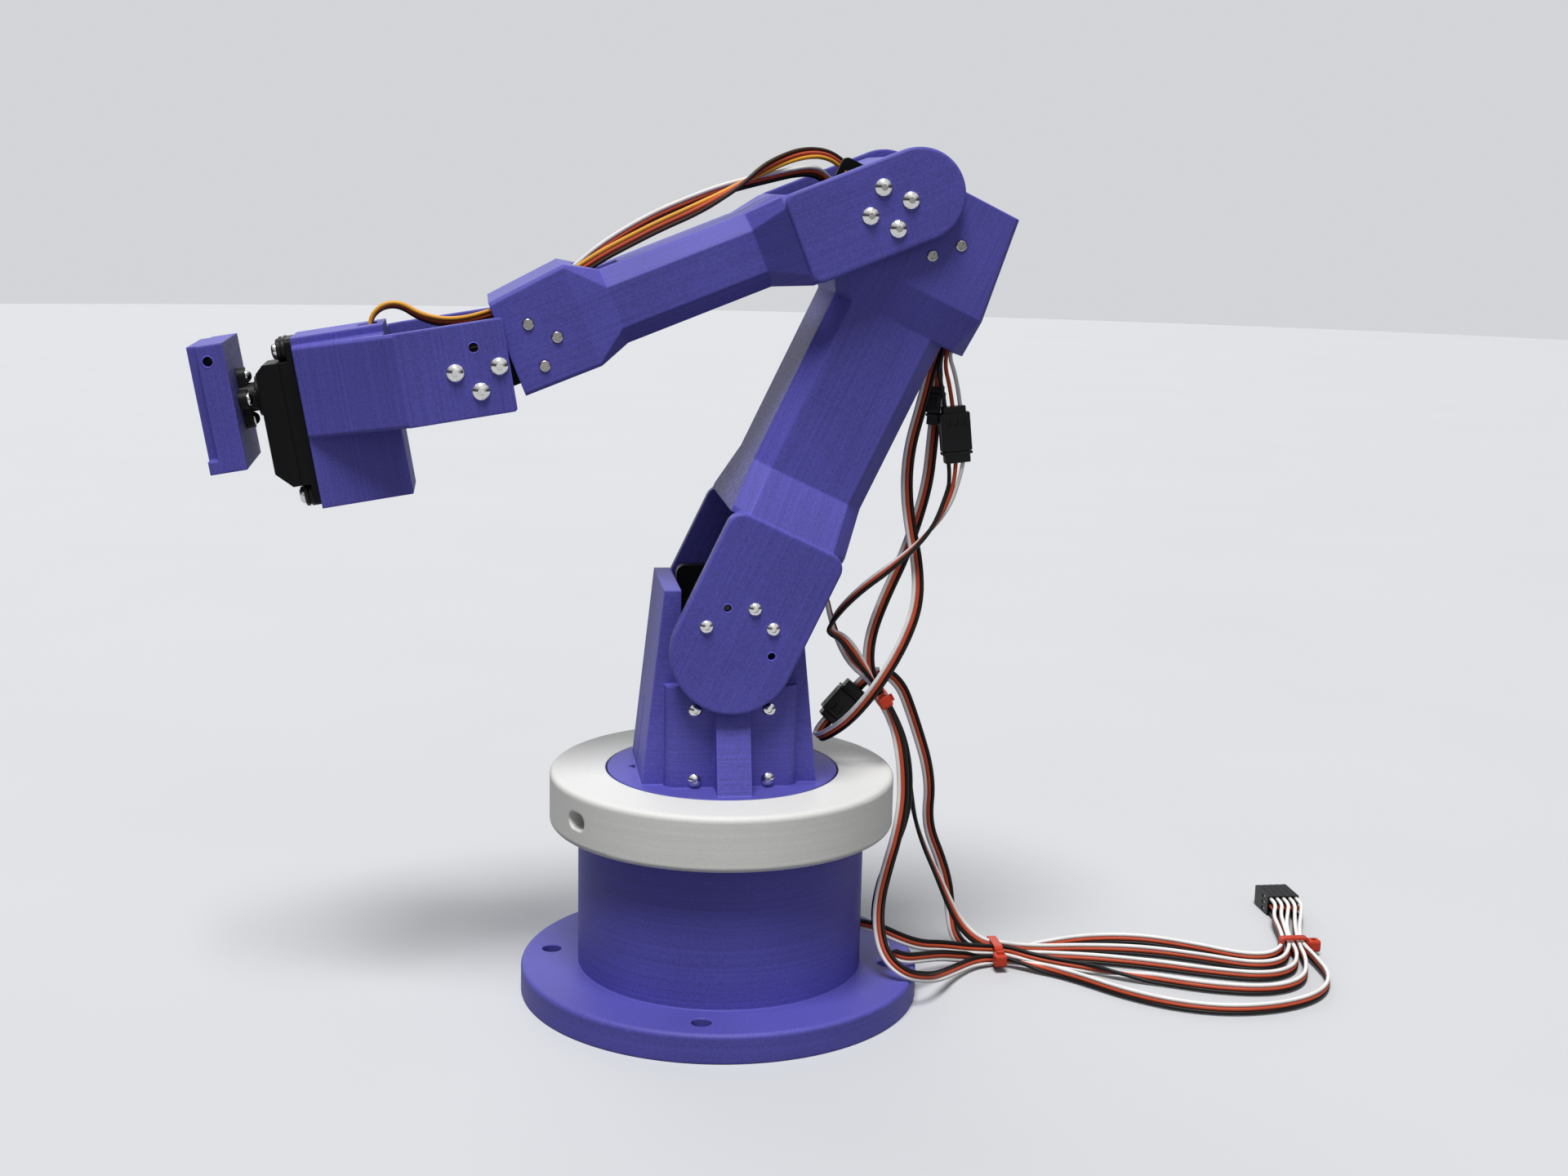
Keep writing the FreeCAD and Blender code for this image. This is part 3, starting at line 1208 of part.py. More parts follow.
pieces = {
    "base_housing": base_housing(),
    "bearing_ring": bearing_ring(),
    "bearing_balls": bearing_balls(),
    "base_servo": placed(servo_case(), base_servo_at),
    "base_servo_screws": ear_screws(base_servo_at, servo_ear_t + 2 * m3_d),
    "base_shaft": placed(servo_shaft(), base_servo_at),
    "base_horn": placed(narrow_horn, base_servo_at),
    "base_horn_screws": base_horn_screws(),
    "turntable": turntable(),
    "back_plate": back_plate(),
    "bracket_screws": bracket_screws(),
    "shoulder_servo": placed(servo_case(joint_servo_h), shoulder_servo_at),
    "shoulder_bearing": placed(
        idler_bearing(), FreeCAD.Placement(V(shoulder_x, shoulder_back_y, shoulder_z), FreeCAD.Rotation()),
    ),
    "upper_arm": placed(upper_arm_shell(), shoulder),
    "shoulder_shaft": placed(servo_shaft(), shoulder, shoulder_horn_at),
    "shoulder_horn": placed(wide_horn, shoulder, shoulder_horn_at),
    "shoulder_horn_screws": placed(
        group(fork_screws(wide_horn_pcd, m25_fork_screw, upper_screws_at, fork_half)), shoulder,
    ),
    "shoulder_idler": placed(
        idler_bolt(fork_half - shoulder_back_y + idler_bearing_w), shoulder,
        FreeCAD.Placement(V(0, fork_half, 0), FreeCAD.Rotation()),
    ),
    "elbow_servo": placed(servo_case(joint_servo_h), shoulder, elbow_servo_at),
    "elbow_clamp": placed(
        clamp(elbow_clamp_points(), elbow_clamp_at, elbow_wall_y, elbow_case_y), shoulder,
    ),
    "elbow_clamp_screws": placed(
        clamp_screws(elbow_clamp_points(), housing_half, elbow_case_y), shoulder,
    ),
    "elbow_bearing": placed(
        idler_bearing(), shoulder, FreeCAD.Placement(V(elbow_s, housing_half, elbow_n), FreeCAD.Rotation()),
    ),
    "forearm": placed(forearm_shell(), elbow),
    "elbow_shaft": placed(servo_shaft(), elbow, elbow_horn_at),
    "elbow_horn": placed(narrow_horn, elbow, elbow_horn_at),
    "elbow_horn_screws": placed(
        group(fork_screws(horn_pcd, m3_fork_screw, quarters, fork_half)), elbow,
    ),
    "elbow_idler": placed(
        idler_bolt(fork_half - housing_half + idler_bearing_w), elbow,
        FreeCAD.Placement(V(0, fork_half, 0), FreeCAD.Rotation()),
    ),
    "wrist_servo": placed(servo_case(), elbow, wrist_servo_at),
    "wrist_clamp": placed(
        clamp(wrist_clamp_points(), wrist_clamp_at, wrist_wall_y, wrist_case_y), elbow,
    ),
    "wrist_clamp_screws": placed(clamp_screws(wrist_clamp_points(), sleeve_half, wrist_case_y), elbow),
    "wrist_bearing": placed(
        idler_bearing(), elbow, FreeCAD.Placement(V(wrist_s, sleeve_half, 0), FreeCAD.Rotation()),
    ),
    "wrist_bracket": placed(wrist_bracket(), wrist),
    "wrist_shaft": placed(servo_shaft(), wrist, wrist_horn_at),
    "wrist_horn": placed(narrow_horn, wrist, wrist_horn_at),
    "wrist_horn_screws": placed(
        group(fork_screws(horn_pcd, m3_wrist_screw, wrist_screws_at, wrist_fork_half)), wrist,
    ),
    "wrist_idler": placed(
        idler_bolt(wrist_fork_half - sleeve_half + idler_bearing_w), wrist,
        FreeCAD.Placement(V(0, wrist_fork_half, 0), FreeCAD.Rotation()),
    ),
    "roll_servo": placed(servo_case(), wrist, roll_servo_at),
    "roll_servo_screws": placed(ear_screws(roll_servo_at, servo_ear_t + 2 * m3_d), wrist),
    "roll_shaft": placed(servo_shaft(), wrist, roll_servo_at),
    "roll_horn": placed(cross_horn(), wrist, roll_servo_at),
    "roll_horn_screws": placed(roll_horn_screws(), wrist),
    "tool_plate": placed(tool_plate(), wrist),
    "roll_lead_wrist": lead("roll_lead_wrist", along(elbow, roll_wrist_f)),
    "roll_lead_forearm": lead(
        "roll_lead_forearm",
        along(elbow, roll_wrist_f[-1:] + roll_forearm_f) + along(shoulder, roll_forearm_u),
    ),
    "wrist_lead_forearm": lead(
        "wrist_lead_forearm", along(elbow, wrist_forearm_f) + along(shoulder, wrist_forearm_u),
    ),
    "roll_lead_hanging": lead("roll_lead_hanging", roll_hang_points),
    "wrist_lead_hanging": lead("wrist_lead_hanging", wrist_hang_points),
    "elbow_lead_hanging": lead("elbow_lead_hanging", elbow_hang_points),
    "shoulder_lead": lead("shoulder_lead", world(shoulder_route) + into_bundle(2)),
    "wrist_lead_floor": lead("wrist_lead_floor", out_of_bundle(0) + world(wrist_floor) + into_plug(4)),
    "elbow_lead_floor": lead("elbow_lead_floor", out_of_bundle(1) + world(elbow_floor) + into_plug(2)),
    "shoulder_lead_floor": lead(
        "shoulder_lead_floor", out_of_bundle(2) + world(shoulder_floor) + into_plug(1),
    ),
    "roll_lead_floor": lead("roll_lead_floor", [low_end] + world(roll_floor) + into_plug(0)),
    "base_lead": lead("base_lead", world(base_route) + into_plug(3)),
    "in_line_connectors": group([
        in_line(wrist_hang_points[2], wrist_hang_points[3], joint_len, True),
        in_line(elbow_hang_points[2], elbow_hang_points[3], joint_small_len, True),
    ]),
    "low_connector": in_line(low_start, low_end, joint_low_len, False),
    "lead_plugs": lead_plugs(),
    "floor_ties": floor_ties(),
    "drop_tie": drop_tie(),
}

os.makedirs("parts", exist_ok=True)
for name, shape in pieces.items():
    shape.exportStep("parts/" + name + ".step")
    print(name, len(shape.Solids), round(shape.Volume), shape.isValid())
print("elbow", elbow_origin, "wrist", wrist_origin)
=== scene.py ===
"""Desktop robot arm with five servo joints: finishes, leads and studio stage."""

import math

import bmesh
import bpy
from bpy.props import FloatProperty, FloatVectorProperty, PointerProperty
from bpy.types import Operator, Panel, PropertyGroup
from mathutils import Matrix, Vector


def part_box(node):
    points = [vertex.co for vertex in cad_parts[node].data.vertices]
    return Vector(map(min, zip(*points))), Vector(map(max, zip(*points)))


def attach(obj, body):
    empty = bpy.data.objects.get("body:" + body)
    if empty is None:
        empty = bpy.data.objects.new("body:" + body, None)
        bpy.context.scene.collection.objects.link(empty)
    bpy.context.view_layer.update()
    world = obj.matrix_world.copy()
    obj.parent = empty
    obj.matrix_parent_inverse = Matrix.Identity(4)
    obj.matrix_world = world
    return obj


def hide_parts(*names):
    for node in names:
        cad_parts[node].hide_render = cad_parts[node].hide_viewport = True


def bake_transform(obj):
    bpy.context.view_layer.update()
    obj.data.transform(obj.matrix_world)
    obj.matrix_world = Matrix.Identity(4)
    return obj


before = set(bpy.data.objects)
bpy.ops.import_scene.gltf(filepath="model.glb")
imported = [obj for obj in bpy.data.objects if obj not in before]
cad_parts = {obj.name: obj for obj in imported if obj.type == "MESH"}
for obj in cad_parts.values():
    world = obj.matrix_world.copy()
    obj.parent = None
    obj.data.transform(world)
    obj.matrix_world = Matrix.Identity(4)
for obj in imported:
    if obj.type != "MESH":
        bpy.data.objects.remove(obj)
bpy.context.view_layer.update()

bl_info = {
    "name": "Desktop robot arm",
    "version": (1, 0, 0),
    "blender": (4, 5, 0),
    "location": "3D View > Sidebar > Robot arm",
    "description": "Finishes, flat servo leads and a studio stage for a printed desktop robot arm",
    "category": "Object",
}

MM = 0.001

# Link frames: origin in millimetres and heading in degrees about the sideways axis.
LINKS = {
    "base": ((0, 0, 0), 0),
    "upper_arm": ((1, 0, 132), 64.7),
    "forearm": ((47.3903, 0, 273.6627), 202),
    "wrist": ((-83.8989, 0, 220.6184), 189.6),
}

# Lead routes in millimetres, from the servo end to the plug end.
ROUTES = {
    "roll_lead_wrist": [
        (-118.2, 3, 225.7), (-119.4, 3, 232.6), (-115.6, 3, 238), (-109.1, 2.5, 239.2), (-102, 1, 234.7),
        (-91.4, -1, 232.9), (-78.7, -2.6, 236.1), (-67.6, -3, 240.6),
    ],
    "roll_lead_forearm": [
        (-67.6, -3, 240.6), (-55.5, -3, 247.5), (-44.5, -3, 255.3), (-34, -3, 261), (-24, -3, 266.2),
        (-13, -3, 271.2), (-3, -2.6, 276.6), (6, -1.5, 282.3), (14.5, 1.5, 287.4), (24, 7.5, 290.8),
        (33, 14.5, 291.2), (40, 20.6, 288.3), (46, 21.3, 281.5), (48.3, 21.3, 274.7),
    ],
    "wrist_lead_forearm": [
        (-62.2, 2.5, 243.6), (-53, 2.5, 249.4), (-44, 2.5, 257.4), (-34.5, 2.5, 263.8), (-24.5, 2.5, 269.4),
        (-14, 2.5, 274), (-4, 2.5, 278), (5, 2.5, 280.6), (14, 3.5, 282.8), (22, 6.5, 284.6),
        (28.5, 11, 285.2), (33.5, 16.5, 283.4), (37.5, 20.3, 279.4), (44.1, 21.3, 273.7),
    ],
    "roll_lead_hanging": [
        (76, 0, 235.9), (70.7, 0, 225.2), (67, 0, 208), (63, 0, 193), (62, -1, 179), (63.5, -3, 165.5),
        (66, -6, 152.5), (66, -9, 140), (62, -11, 128.5), (56, -11.5, 117), (49.5, -11, 107),
        (43, -6.5, 97.5), (37.6, 2.4, 90.4), (34.8, 9.2, 87.2), (36.6, 14, 89.2), (39.5, 14, 92.6),
    ],
    "wrist_lead_hanging": [
        (76.5, -4, 234.6), (72.3, -4, 224.4), (76.4, -4, 211.2), (79.4, -4.3, 184.2), (74, -7, 170.5),
        (65.5, -9.5, 160.5), (56, -9.5, 152.5), (46.5, -8, 145), (39.2, -6, 137), (35.8, -4.5, 130.6),
        (36.6, -4.2, 128.6), (41, -4, 126.6), (46.5, -3.8, 119.5), (52.2, -3.6, 110.8), (55.5, -3.6, 104.8),
    ],
    "elbow_lead_hanging": [
        (75.7, 4, 234.4), (71.9, 4, 224.6), (73, 4, 213), (71.8, 4, 193.5), (70.5, 3, 180), (67, 2, 167),
        (62.3, 1.2, 153.5), (56.5, 0.5, 141), (51.8, 0, 128.5), (50.6, 0, 118.4), (52.2, 0, 110.4),
        (55.5, 0, 104.8),
    ],
    "shoulder_lead": [
        (2, 14, 144.2), (9, 13.5, 150.5), (19, 11.5, 153.5), (29.5, 10.5, 150), (36.5, 10, 140.5),
        (39.3, 9.5, 129), (42.5, 7.5, 120.5), (46.5, 5, 114.5), (52.2, 3.6, 110.4), (55.5, 3.6, 104.8),
    ],
    "wrist_lead_floor": [
        (55.5, -3.6, 104.8), (58.8, -3.6, 99.2), (62, -4.5, 89.5), (63.5, -5.2, 79), (63.8, -6.2, 68),
        (61.5, -8.5, 56), (57.5, -12, 45), (54, -17, 35), (53, -22.5, 26), (55, -27.5, 18),
        (61.5, -30.5, 12.8), (70, -27.5, 10.2), (77, -18, 7), (84.5, -6, 4), (93.5, 3.6, 3), (100, 6.2, 2.8),
        (107, 6.3, 2.6), (118, -1.5, 2.25), (129.5, -13, 2.25), (141, -28, 2.25), (156, -40.5, 2.25),
        (174, -47, 2.25), (194, -45.5, 2.25), (211, -37, 2.25), (221, -22, 2.25), (222.2, -5, 2.8),
        (222, 9, 3.2), (227, 23, 3.2), (233.6, 37.5, 3.6), (236.4, 44, 4), (236.4, 50, 4),
    ],
    "elbow_lead_floor": [
        (55.5, 0, 104.8), (58.8, 0, 99.2), (63.5, 0, 89.5), (66, 0, 78.5), (66.3, -0.8, 67),
        (63.5, -3.5, 55.5), (58.5, -7.5, 45), (54.3, -12.5, 34.5), (53.2, -17, 26), (56, -20, 18.5),
        (63, -18.5, 13.8), (71.5, -12.5, 12), (80, -5, 9.5), (88.5, 4.5, 5), (94.5, 8.3, 3.2),
        (100.5, 10, 2.8), (108, 10.1, 2.6), (121, 9.3, 2.25), (141, 5, 2.25), (160, -2.5, 2.25),
        (179, -12, 2.25), (197, -18.5, 2.25), (210, -13.5, 2.25), (216.5, -2, 2.8), (218.8, 11, 3.2),
        (222.6, 25, 3.2), (228, 37.5, 3.6), (231.2, 44, 4), (231.2, 50, 4),
    ],
    "shoulder_lead_floor": [
        (55.5, 3.6, 104.8), (58.8, 3.6, 99.2), (63.5, 5.5, 90), (67.2, 7.3, 79), (69.5, 9, 67.5),
        (72, 11.2, 55.5), (76.5, 13.3, 44), (82, 15, 33), (87, 16, 22), (92, 16, 12.5), (99, 12.9, 6.6),
        (106, 11.9, 5.7), (118.5, 14.5, 2.8), (140, 15.5, 2.25), (161, 12, 2.25), (181, 2, 2.25),
        (197, -8, 2.25), (209, -6, 2.5), (216.6, 6, 3.2), (220.8, 21, 3.3), (225, 37.3, 3.8),
        (228.6, 44, 4), (228.6, 50, 4),
    ],
    "roll_lead_floor": [
        (50, 14, 104.7), (53.9, 14, 109.2), (60.3, 14.2, 110), (66.2, 14.5, 104.5), (69.8, 14.5, 95.5),
        (73.2, 14.3, 85.8), (76.4, 14.6, 76), (78.4, 16.5, 65.5), (78.4, 19, 56), (80, 21.5, 47.5),
        (85, 24.5, 36.5), (89, 27, 25), (90.5, 28, 14), (91.5, 24, 5.5), (95, 17.5, 2.6),
        (100.3, 13.9, 2.5), (107.3, 13.8, 2.5), (120, 18, 2.25), (141, 25.5, 2.25), (163, 24.5, 2.25),
        (182, 13, 2.25), (196, 1.5, 2.25), (207, 0.5, 2.25), (215, 8, 3.2), (219, 22, 3.2), (222, 37.2, 3.6),
        (226, 44, 4), (226, 50, 4),
    ],
    "base_lead": [
        (43, -6, 24), (54, -7.5, 22.5), (64, -6.5, 17), (73, -1, 12), (82, 4.5, 9.5), (91.5, 7.5, 7),
        (100, 8.4, 5.9), (107.5, 8.2, 5.6), (119, 4.5, 2.7), (137, -5, 2.25), (156, -16, 2.25),
        (175, -26.5, 2.25), (195, -31, 2.25), (210, -24, 2.25), (217.5, -8, 2.8), (220.4, 7, 3.2),
        (225, 22, 3.3), (230.9, 37.4, 3.8), (233.8, 44, 4), (233.8, 50, 4),
    ],
}

# How the flat side of each lead lies: share of the length, and the way from first to third wire there.
LAYS = {
    "roll_lead_wrist": [
        (0, (0, 1, 0)), (0.35, (0, 0.8, -0.6)), (0.75, (0, 0.3, -1)), (1, (0, 0, -1)),
    ],
    "roll_lead_forearm": [
        (0, (0, 0, -1)), (0.42, (0, -0.1, -1)), (0.55, (0.2, -1, -0.3)), (0.64, (-0.2, -0.4, 0.9)),
        (0.8, (-0.3, 0.3, 0.9)), (1, (0.5, 0.2, 0.9)),
    ],
    "wrist_lead_forearm": [
        (0, (0, 0, -1)), (0.5, (0, 0.2, -1)), (0.75, (0, 0.6, -0.8)), (1, (0.5, 0.2, -0.9)),
    ],
    "roll_lead_hanging": [
        (0, (1, 0.2, 0)), (0.15, (1, 0, 0)), (0.6, (1, 0, -0.1)), (0.8, (0.85, 0, -0.5)),
        (0.9, (0.6, 0.2, -0.7)), (1, (0.8, 0, -0.6)),
    ],
    "wrist_lead_hanging": [
        (0, (-1, 0, 0)), (0.36, (-1, 0, 0)), (0.5, (-0.1, -1, 0)), (0.62, (0.3, -0.9, -0.3)),
        (0.75, (0, -1, -0.2)), (0.86, (-1, -0.3, 0)), (1, (0.3, -0.9, 0)),
    ],
    "elbow_lead_hanging": [
        (0, (1, 0, 0)), (0.45, (1, 0, 0)), (0.6, (0.9, -0.2, -0.4)), (0.8, (0.9, 0, -0.4)),
        (1, (0.9, 0, 0.5)),
    ],
    "shoulder_lead": [(0, (0, 1, 0)), (0.5, (0.3, 1, 0)), (1, (0.5, 0.8, 0.3))],
    "wrist_lead_floor": [
        (0, (0.3, -0.9, 0)), (0.05, (0.95, -0.2, 0.2)), (0.12, (1, 0, 0)), (0.2, (1, -0.1, 0.1)),
        (0.25, (0.8, -0.2, 0.6)), (0.285, (0.4, 0, 0.95)), (0.33, (-0.3, 0.2, 1)), (0.41, (0, 0.2, 1)),
        (0.45, (0, -1, 0.2)), (0.49, (0, -0.3, -1)), (1, (0, 0, -1)),
    ],
    "elbow_lead_floor": [
        (0, (0.9, 0, 0.5)), (0.06, (1, 0, 0.2)), (0.12, (1, 0, 0)), (0.17, (0.3, -1, 0)),
        (0.21, (-1, -0.4, 0)), (0.27, (-0.9, -0.3, 0.4)), (0.33, (0, 0, 1)), (0.42, (0, 0.1, 1)),
        (0.46, (0, -1, 0.2)), (0.5, (0, -0.3, -1)), (1, (0, 0, -1)),
    ],
    "shoulder_lead_floor": [
        (0, (0.5, 0.8, 0.3)), (0.1, (0.2, -1, 0)), (0.25, (-0.3, -1, -0.2)), (0.35, (-0.6, -0.5, -0.6)),
        (0.44, (0, -0.2, -1)), (1, (0, 0, -1)),
    ],
    "roll_lead_floor": [
        (0, (0.8, 0, -0.6)), (0.06, (0.9, 0, 0.4)), (0.12, (0.9, 0, 0.3)), (0.3, (0.95, 0, 0.2)),
        (0.38, (0.9, 0.3, 0.2)), (0.46, (0, 0.1, 1)), (0.5, (0, -1, 0.2)), (0.54, (0, -0.3, -1)),
        (1, (0, 0, -1)),
    ],
    "base_lead": [
        (0, (0, 0, 1)), (0.3, (0, 0.1, 1)), (0.38, (0, 0.1, 1)), (0.44, (0, -1, 0.2)),
        (0.5, (0, -0.3, -1)), (1, (0, 0, -1)),
    ],
}

# How far the wires of a lead spread where they go into a connector: share of the length, and times.
FANS = {
    "wrist_lead_hanging": [(0, 1), (0.07, 1), (0.1, 1.9), (0.3, 1.9), (0.36, 1), (1, 1)],
    "plug": [(0, 1), (0.95, 1), (0.985, 1.95), (1, 1.95)],
    "other": [(0, 1), (1, 1)],
}

# In-line connectors in millimetres: the two ends of the run that each sits on, its length, and the way
# its width lies where the connector isn't edge on.
IN_LINES = {
    "in_line_connectors": [
        ((76.4, -4, 211.2), (79.4, -4.3, 184.2), 19.5, None),
        ((73.2, 4, 216.5), (72, 4, 197), 13, (-0.4, -1, 0)),
    ],
    "low_connector": [((39.5, 14, 92.6), (49.976, 14, 104.694), 16, None)],
}

# Row of end plugs in millimetres: where the first lead goes in, step to the next, number of plugs, and
# levels of the three wires in each.
PLUG_START, PLUG_STEP, PLUGS = (226, 50, 4), 2.6, 5
WIRE_LEVELS = (-2.54, 0, 2.54)

# Cable ties in millimetres: middle, direction of the leads, across direction, room and side of the head.
TIES = {
    "drop_tie": [((55.5, 0, 104.8), (0.5, 0, -0.866), (0, 1, 0), (10.3, 3.1), -1)],
    "floor_ties": [
        ((103.6, 10.1, 4.3), (1, 0, 0), (0, 1, 0), (10.7, 6.7), -1),
        ((218.6, 8, 3.6), (0, 1, 0), (1, 0, 0), (9.4, 5.3), 1),
    ],
}

# Outlines of turned parts as (radius, height) in millimetres; the rim's radius is counted from its hole.
GROMMET = [
    (1.8, 0.0), (3.9, 0.0), (4.0, 0.3), (4.0, 1.0), (3.5, 1.25), (3.5, 1.5), (3.9, 1.75), (3.9, 2.5),
    (3.5, 2.9), (1.8, 2.9),
]
EAR_HEAD = [
    (0.0, 2.7), (2.85, 2.7), (2.85, 3.5), (2.7, 4.0), (2.3, 4.4), (1.7, 4.6), (1.35, 4.6), (1.3, 3.4),
    (0.0, 3.2),
]
RIM = [(0.0, -0.1), (0.0, 0.06), (0.08, 0.12), (0.3, 0.12), (0.4, 0.06), (0.4, -0.1)]

# Ears of the roll servo in the frame of the wrist, in millimetres: front face, and places of its screws.
EAR_FACE, EAR_SIDES, EAR_DROPS = 59.8, (-5, 5), (-13.8, 33.8)

# Empty holes with a rim, in millimetres: radius, and middles in the frame of the link. The hole in the
# side of the tool plate has its place along and up at rest.
RIMMED_HOLES = {"upper_arm": (1.31, [(8.485, -33, 8.485), (0, -33, -12)]), "wrist": (1.56, [(0, -31, -7)])}
TOOL_BORE, TOOL_HOLE = 1.6, (-167.91, 221.42)

# Bodies that each lead joins, and where the turn between them begins and ends, in millimetres.
FLEXES = {
    "roll_lead_wrist": ("wrist", "forearm", (-112, 3, 240), (-72, 3, 238)),
    "roll_lead_forearm": ("forearm", "upper_arm", (12, 0, 286), (45, 21, 283)),
    "wrist_lead_forearm": ("forearm", "upper_arm", (12, 3, 282), (40, 21, 277)),
    "roll_lead_hanging": ("upper_arm", "turntable", (67, 0, 208), (49.5, -11, 107)),
    "wrist_lead_hanging": ("upper_arm", "turntable", (79, -4, 178), (52, -3.6, 112)),
    "elbow_lead_hanging": ("upper_arm", "turntable", (72, 4, 205), (52, 0, 112)),
    "wrist_lead_floor": ("turntable", "base", (60, -4, 100), (60, -4, 14)),
    "elbow_lead_floor": ("turntable", "base", (60, 0, 100), (60, 0, 14)),
    "shoulder_lead_floor": ("turntable", "base", (60, 4, 100), (60, 4, 14)),
    "roll_lead_floor": ("turntable", "base", (60, 14, 104), (60, 14, 14)),
}
RIDES = {"shoulder_lead": "turntable", "base_lead": "base"}

# Shades of a print, times its colour: lows and highs of its layers, painted highlights on edges and rims,
# and lows of a rough side that faced the supports. The last is the colour of the specks on that side.
LAYER_LOW, LAYER_HIGH, EDGE_HIGHLIGHT, RIM_HIGHLIGHT, ROUGH_LOW = 0.70, 1.30, 2.1, 1.7, 0.6
ROUGH_SPECK = (0.16, 0.155, 0.34)

# Printed pieces: finish, link whose frame the layers follow, axis that they stack along in it, and the
# way that a rough side looks in it.
PRINTS = {
    "base_housing": ("Base print", "base", "Z", None),
    "turntable": ("Turntable print", "base", "Z", None),
    "upper_arm": ("Upper arm print", "upper_arm", "Z", (0, 0, 1)),
    "forearm": ("Forearm print", "forearm", "Z", None),
    "wrist_bracket": ("Wrist print", "wrist", "X", None),
    "tool_plate": ("Tool print", "wrist", "X", (-1, 0, 0)),
}

# Servo cases: servos, link and axis that the shells stack along, and where their seams lie, in metres.
CASES = {
    "Base servo case": (["base_servo"], "base", "Z", (0.027, 0.046)),
    "Joint servo case": (["shoulder_servo", "elbow_servo"], "base", "Y", (-0.014, 0.012)),
    "Wrist servo case": (["wrist_servo"], "base", "Y", (-0.011, 0.011)),
    "Roll servo case": (["roll_servo"], "wrist", "X", (0.0395, 0.0626)),
}
HORNS = ["base_horn", "shoulder_horn", "elbow_horn", "wrist_horn", "roll_horn"]
CLAMPS = ["elbow_clamp", "wrist_clamp", "back_plate"]

# Metals: colour, roughness, rubbing, and the pieces of each.
METALS = {
    "Bright screw": (
        (0.70, 0.69, 0.67), 0.07, 0.08,
        ["shoulder_horn_screws", "elbow_horn_screws", "wrist_horn_screws", "base_horn_screws",
         "bracket_screws", "roll_horn_screws", "base_servo_screws", "roll_servo_screws"],
    ),
    "Plain screw": ((0.40, 0.38, 0.36), 0.12, 0.1, ["elbow_clamp_screws", "wrist_clamp_screws"]),
    "Ground steel": (
        (0.62, 0.62, 0.61), 0.18, 0.1,
        ["bearing_balls", "base_shaft", "shoulder_shaft", "elbow_shaft", "wrist_shaft", "roll_shaft",
         "shoulder_idler", "elbow_idler", "wrist_idler"],
    ),
    "Bearing bronze": (
        (0.50, 0.32, 0.14), 0.34, 0.1, ["shoulder_bearing", "elbow_bearing", "wrist_bearing"],
    ),
}

# Insulation of the wires, and the three wires of a lead in order.
INSULATION = {
    "white": (0.88, 0.87, 0.85), "red": (0.56, 0.085, 0.035), "black": (0.005, 0.0045, 0.0045),
    "amber": (0.84, 0.39, 0.04), "brown": (0.045, 0.020, 0.010),
}
PLAIN_WIRES, AMBER_WIRES = ("white", "red", "black"), ("amber", "red", "brown")
AMBER_LEADS = ("roll_lead_wrist", "roll_lead_forearm")

# Real lengths in metres, and what is on the far end.
LENGTHS = {
    "roll_lead_wrist": (0.063, "object"),
    "roll_lead_forearm": (0.142, "object"),
    "wrist_lead_forearm": (0.127, "object"),
    "roll_lead_hanging": (0.178, "connector"),
    "wrist_lead_hanging": (0.154, "object"),
    "elbow_lead_hanging": (0.135, "object"),
    "shoulder_lead": (0.084, "object"),
    "wrist_lead_floor": (0.378, "plug"),
    "elbow_lead_floor": (0.328, "plug"),
    "shoulder_lead_floor": (0.285, "plug"),
    "roll_lead_floor": (0.308, "plug"),
    "base_lead": (0.262, "plug"),
}

# Fineness of round shapes: steps of a turned part, sides of a wire, and steps between two route points.
TURN_STEPS, WIRE_SIDES, LINE_STEPS = 32, 12, 7

# Lamps: the direction that each shines from, and its softness in degrees.
LAMPS = {
    "key": ((-0.12, -0.34, 1.0), 24), "fill": ((0.3, -1.0, 0.25), 70), "back": ((-0.2, 1.0, 0.35), 60),
}

# Floor in metres: its radius, and how far it lies under the flange.
FLOOR_RADIUS, FLOOR_DROP = 4.0, 0.0002

# What metal mirrors from below and from above, and the tint of the even light.
MIRROR_LOW, MIRROR_HIGH = (0.06, 0.06, 0.065), (0.85, 0.86, 0.88)
EVEN_TINT = (0.98, 1.0, 1.04)

# Camera: place in metres, angles in degrees, focal length and picture width in pixels, and sensor width
# in millimetres.
CAMERA_PLACE = (-0.0839, -0.6917, 0.2800)
CAMERA_TURN, CAMERA_TILT, CAMERA_ROLL = -8.58, 11.04, 1.31
FOCAL_LENGTH, PICTURE_WIDTH, SENSOR = 2525.5, 1920, 36.0

# Sockets of a Mix node for colours.
MIX_FACTOR, MIX_FIRST, MIX_SECOND, MIX_RESULT = 0, 6, 7, 2


class PrintLook(PropertyGroup):
    """Colours and layers of the printed pieces."""

    purple: FloatVectorProperty(
        name="Purple", description="Colour of the purple printed pieces", subtype="COLOR",
        size=3, min=0, max=1, default=(0.091, 0.083, 0.410),
    )
    white: FloatVectorProperty(
        name="White", description="Colour of the white printed ring", subtype="COLOR",
        size=3, min=0, max=1, default=(0.76, 0.76, 0.73),
    )
    layer: FloatProperty(
        name="Layer", description="Height of one printed layer", unit="LENGTH",
        default=0.00028, min=0.00005, max=0.001, precision=5,
    )
    edge: FloatProperty(
        name="Edge", description="Radius that a printed edge is softened by", unit="LENGTH",
        default=0.0010, min=0, max=0.003, precision=5,
    )


